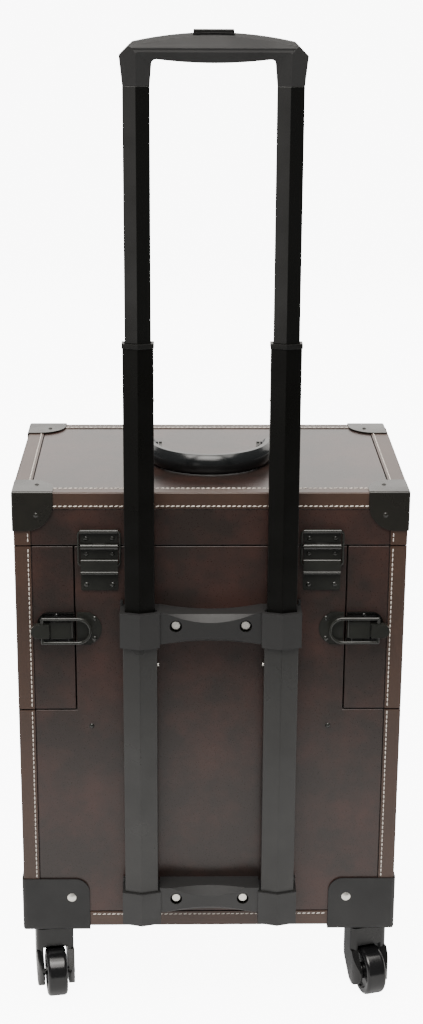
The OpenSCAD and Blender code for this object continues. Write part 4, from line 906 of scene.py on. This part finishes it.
class MAKEUPCASE_OT_stage(CaseOperator, bpy.types.Operator):
    """Sets the pale floor, the backdrop, the soft lights and the camera"""

    bl_idname = "makeupcase.stage"
    bl_label = "Stage"

    def execute(self, context):
        stage = settings("stage")
        self.lay_floor(context, stage)
        self.hang_backdrop(context, stage)
        self.set_lamps(context, stage)
        self.add_camera(context, stage)
        return {"FINISHED"}

    def lay_floor(self, context, stage):
        """Lays the paper under the case and far out behind it."""
        bpy.ops.object.select_all(action="DESELECT")
        bpy.ops.mesh.primitive_plane_add(size=stage.paper_size)
        floor = context.object
        floor.location.y = BASE_LOW.y - stage.paper_front + stage.paper_size / 2
        bpy.ops.object.transform_apply(location=True, rotation=False, scale=False)
        floor.name = "studio_floor"
        paper = paper_material("Studio paper", tuple(settings("colours").floor), stage.glow,
                               stage.paper)
        floor.data.materials.append(paper)

    def hang_backdrop(self, context, stage):
        """Shows white all round, from a room whose walls are dim."""
        world = bpy.data.worlds.new("White backdrop")
        world.use_nodes = True
        tree = world.node_tree
        tree.nodes.clear()
        seen = add_node(tree, "ShaderNodeLightPath")
        level = add_node(tree, "ShaderNodeMapRange",
                         {"Value": (seen, "Is Camera Ray"), "To Min": stage.surround,
                          "To Max": stage.paper})
        sky = add_node(tree, "ShaderNodeBackground",
                       {"Color": (1, 1, 1, 1), "Strength": (level, "Result")})
        add_node(tree, "ShaderNodeOutputWorld", {"Surface": (sky, "Background")})
        context.scene.world = world

    def set_lamps(self, context, stage):
        """Hangs the softboxes and turns them to the case."""
        for name, place, wide, high, setting in LAMPS:
            bpy.ops.object.light_add(type="AREA", location=place)
            lamp = context.object
            lamp.name = name
            lamp.data.shape = "RECTANGLE"
            lamp.data.size = wide
            lamp.data.size_y = high
            lamp.data.energy = getattr(stage, setting)
            lamp.data.color = tuple(settings("colours").light)[:3]
            lamp.visible_camera = False
            lamp.rotation_euler = (LAMP_AIM - place).to_track_quat("-Z", "Y").to_euler()

    def add_camera(self, context, stage):
        """Stands the camera behind and above the case, turned a little left and tipped down."""
        place = Vector((CAMERA_SIDE, BASE_LOW.y - CAMERA_BACK, BASE_LOW.z + CAMERA_UP))
        yaw, pitch, roll = map(math.radians, (CAMERA_YAW, CAMERA_PITCH, CAMERA_ROLL))
        look = Vector((-math.sin(yaw) * math.cos(pitch), math.cos(yaw) * math.cos(pitch),
                       -math.sin(pitch)))
        level = Vector((math.cos(yaw), math.sin(yaw), 0))
        down = look.cross(level)
        right = level * math.cos(roll) + down * math.sin(roll)
        up = level * math.sin(roll) - down * math.cos(roll)
        bpy.ops.object.camera_add(location=place)
        camera = context.object
        camera.name = "photo_camera"
        camera.data.sensor_width = SENSOR_WIDTH
        camera.data.lens = stage.lens
        camera.rotation_euler = Matrix((right, up, -look)).transposed().to_euler()
        context.scene.camera = camera


PIECE_OPERATORS = (
    MAKEUPCASE_OT_boards,
    MAKEUPCASE_OT_leather,
    MAKEUPCASE_OT_bindings,
    MAKEUPCASE_OT_stitching,
    MAKEUPCASE_OT_corners,
    MAKEUPCASE_OT_rivets,
    MAKEUPCASE_OT_trolley,
    MAKEUPCASE_OT_fittings,
    MAKEUPCASE_OT_carry_handle,
    MAKEUPCASE_OT_castors,
    MAKEUPCASE_OT_stage,
)


class MAKEUPCASE_PT_panel(bpy.types.Panel):
    """Lists the case's pieces and settings in the 3D view's sidebar"""

    bl_idname = "MAKEUPCASE_PT_panel"
    bl_label = "Makeup Case"
    bl_space_type = "VIEW_3D"
    bl_region_type = "UI"
    bl_category = "Makeup Case"

    def draw(self, context):
        for operator in PIECE_OPERATORS:
            self.layout.operator(operator.bl_idname)
        for name, group in GROUPS.items():
            for setting in group.__annotations__:
                self.layout.prop(settings(name), setting)


CLASSES = (*GROUPS.values(), *PIECE_OPERATORS, MAKEUPCASE_PT_panel)


def register():
    for cls in CLASSES:
        bpy.utils.register_class(cls)
    for name, group in GROUPS.items():
        setattr(bpy.types.Scene, "makeup_case_" + name, PointerProperty(type=group))


def unregister():
    for name in GROUPS:
        delattr(bpy.types.Scene, "makeup_case_" + name)
    for cls in reversed(CLASSES):
        bpy.utils.unregister_class(cls)


def main():
    register()
    for operator in PIECE_OPERATORS:
        category, name = operator.bl_idname.split(".")
        getattr(getattr(bpy.ops, category), name)()


if __name__ == "__main__":
    main()
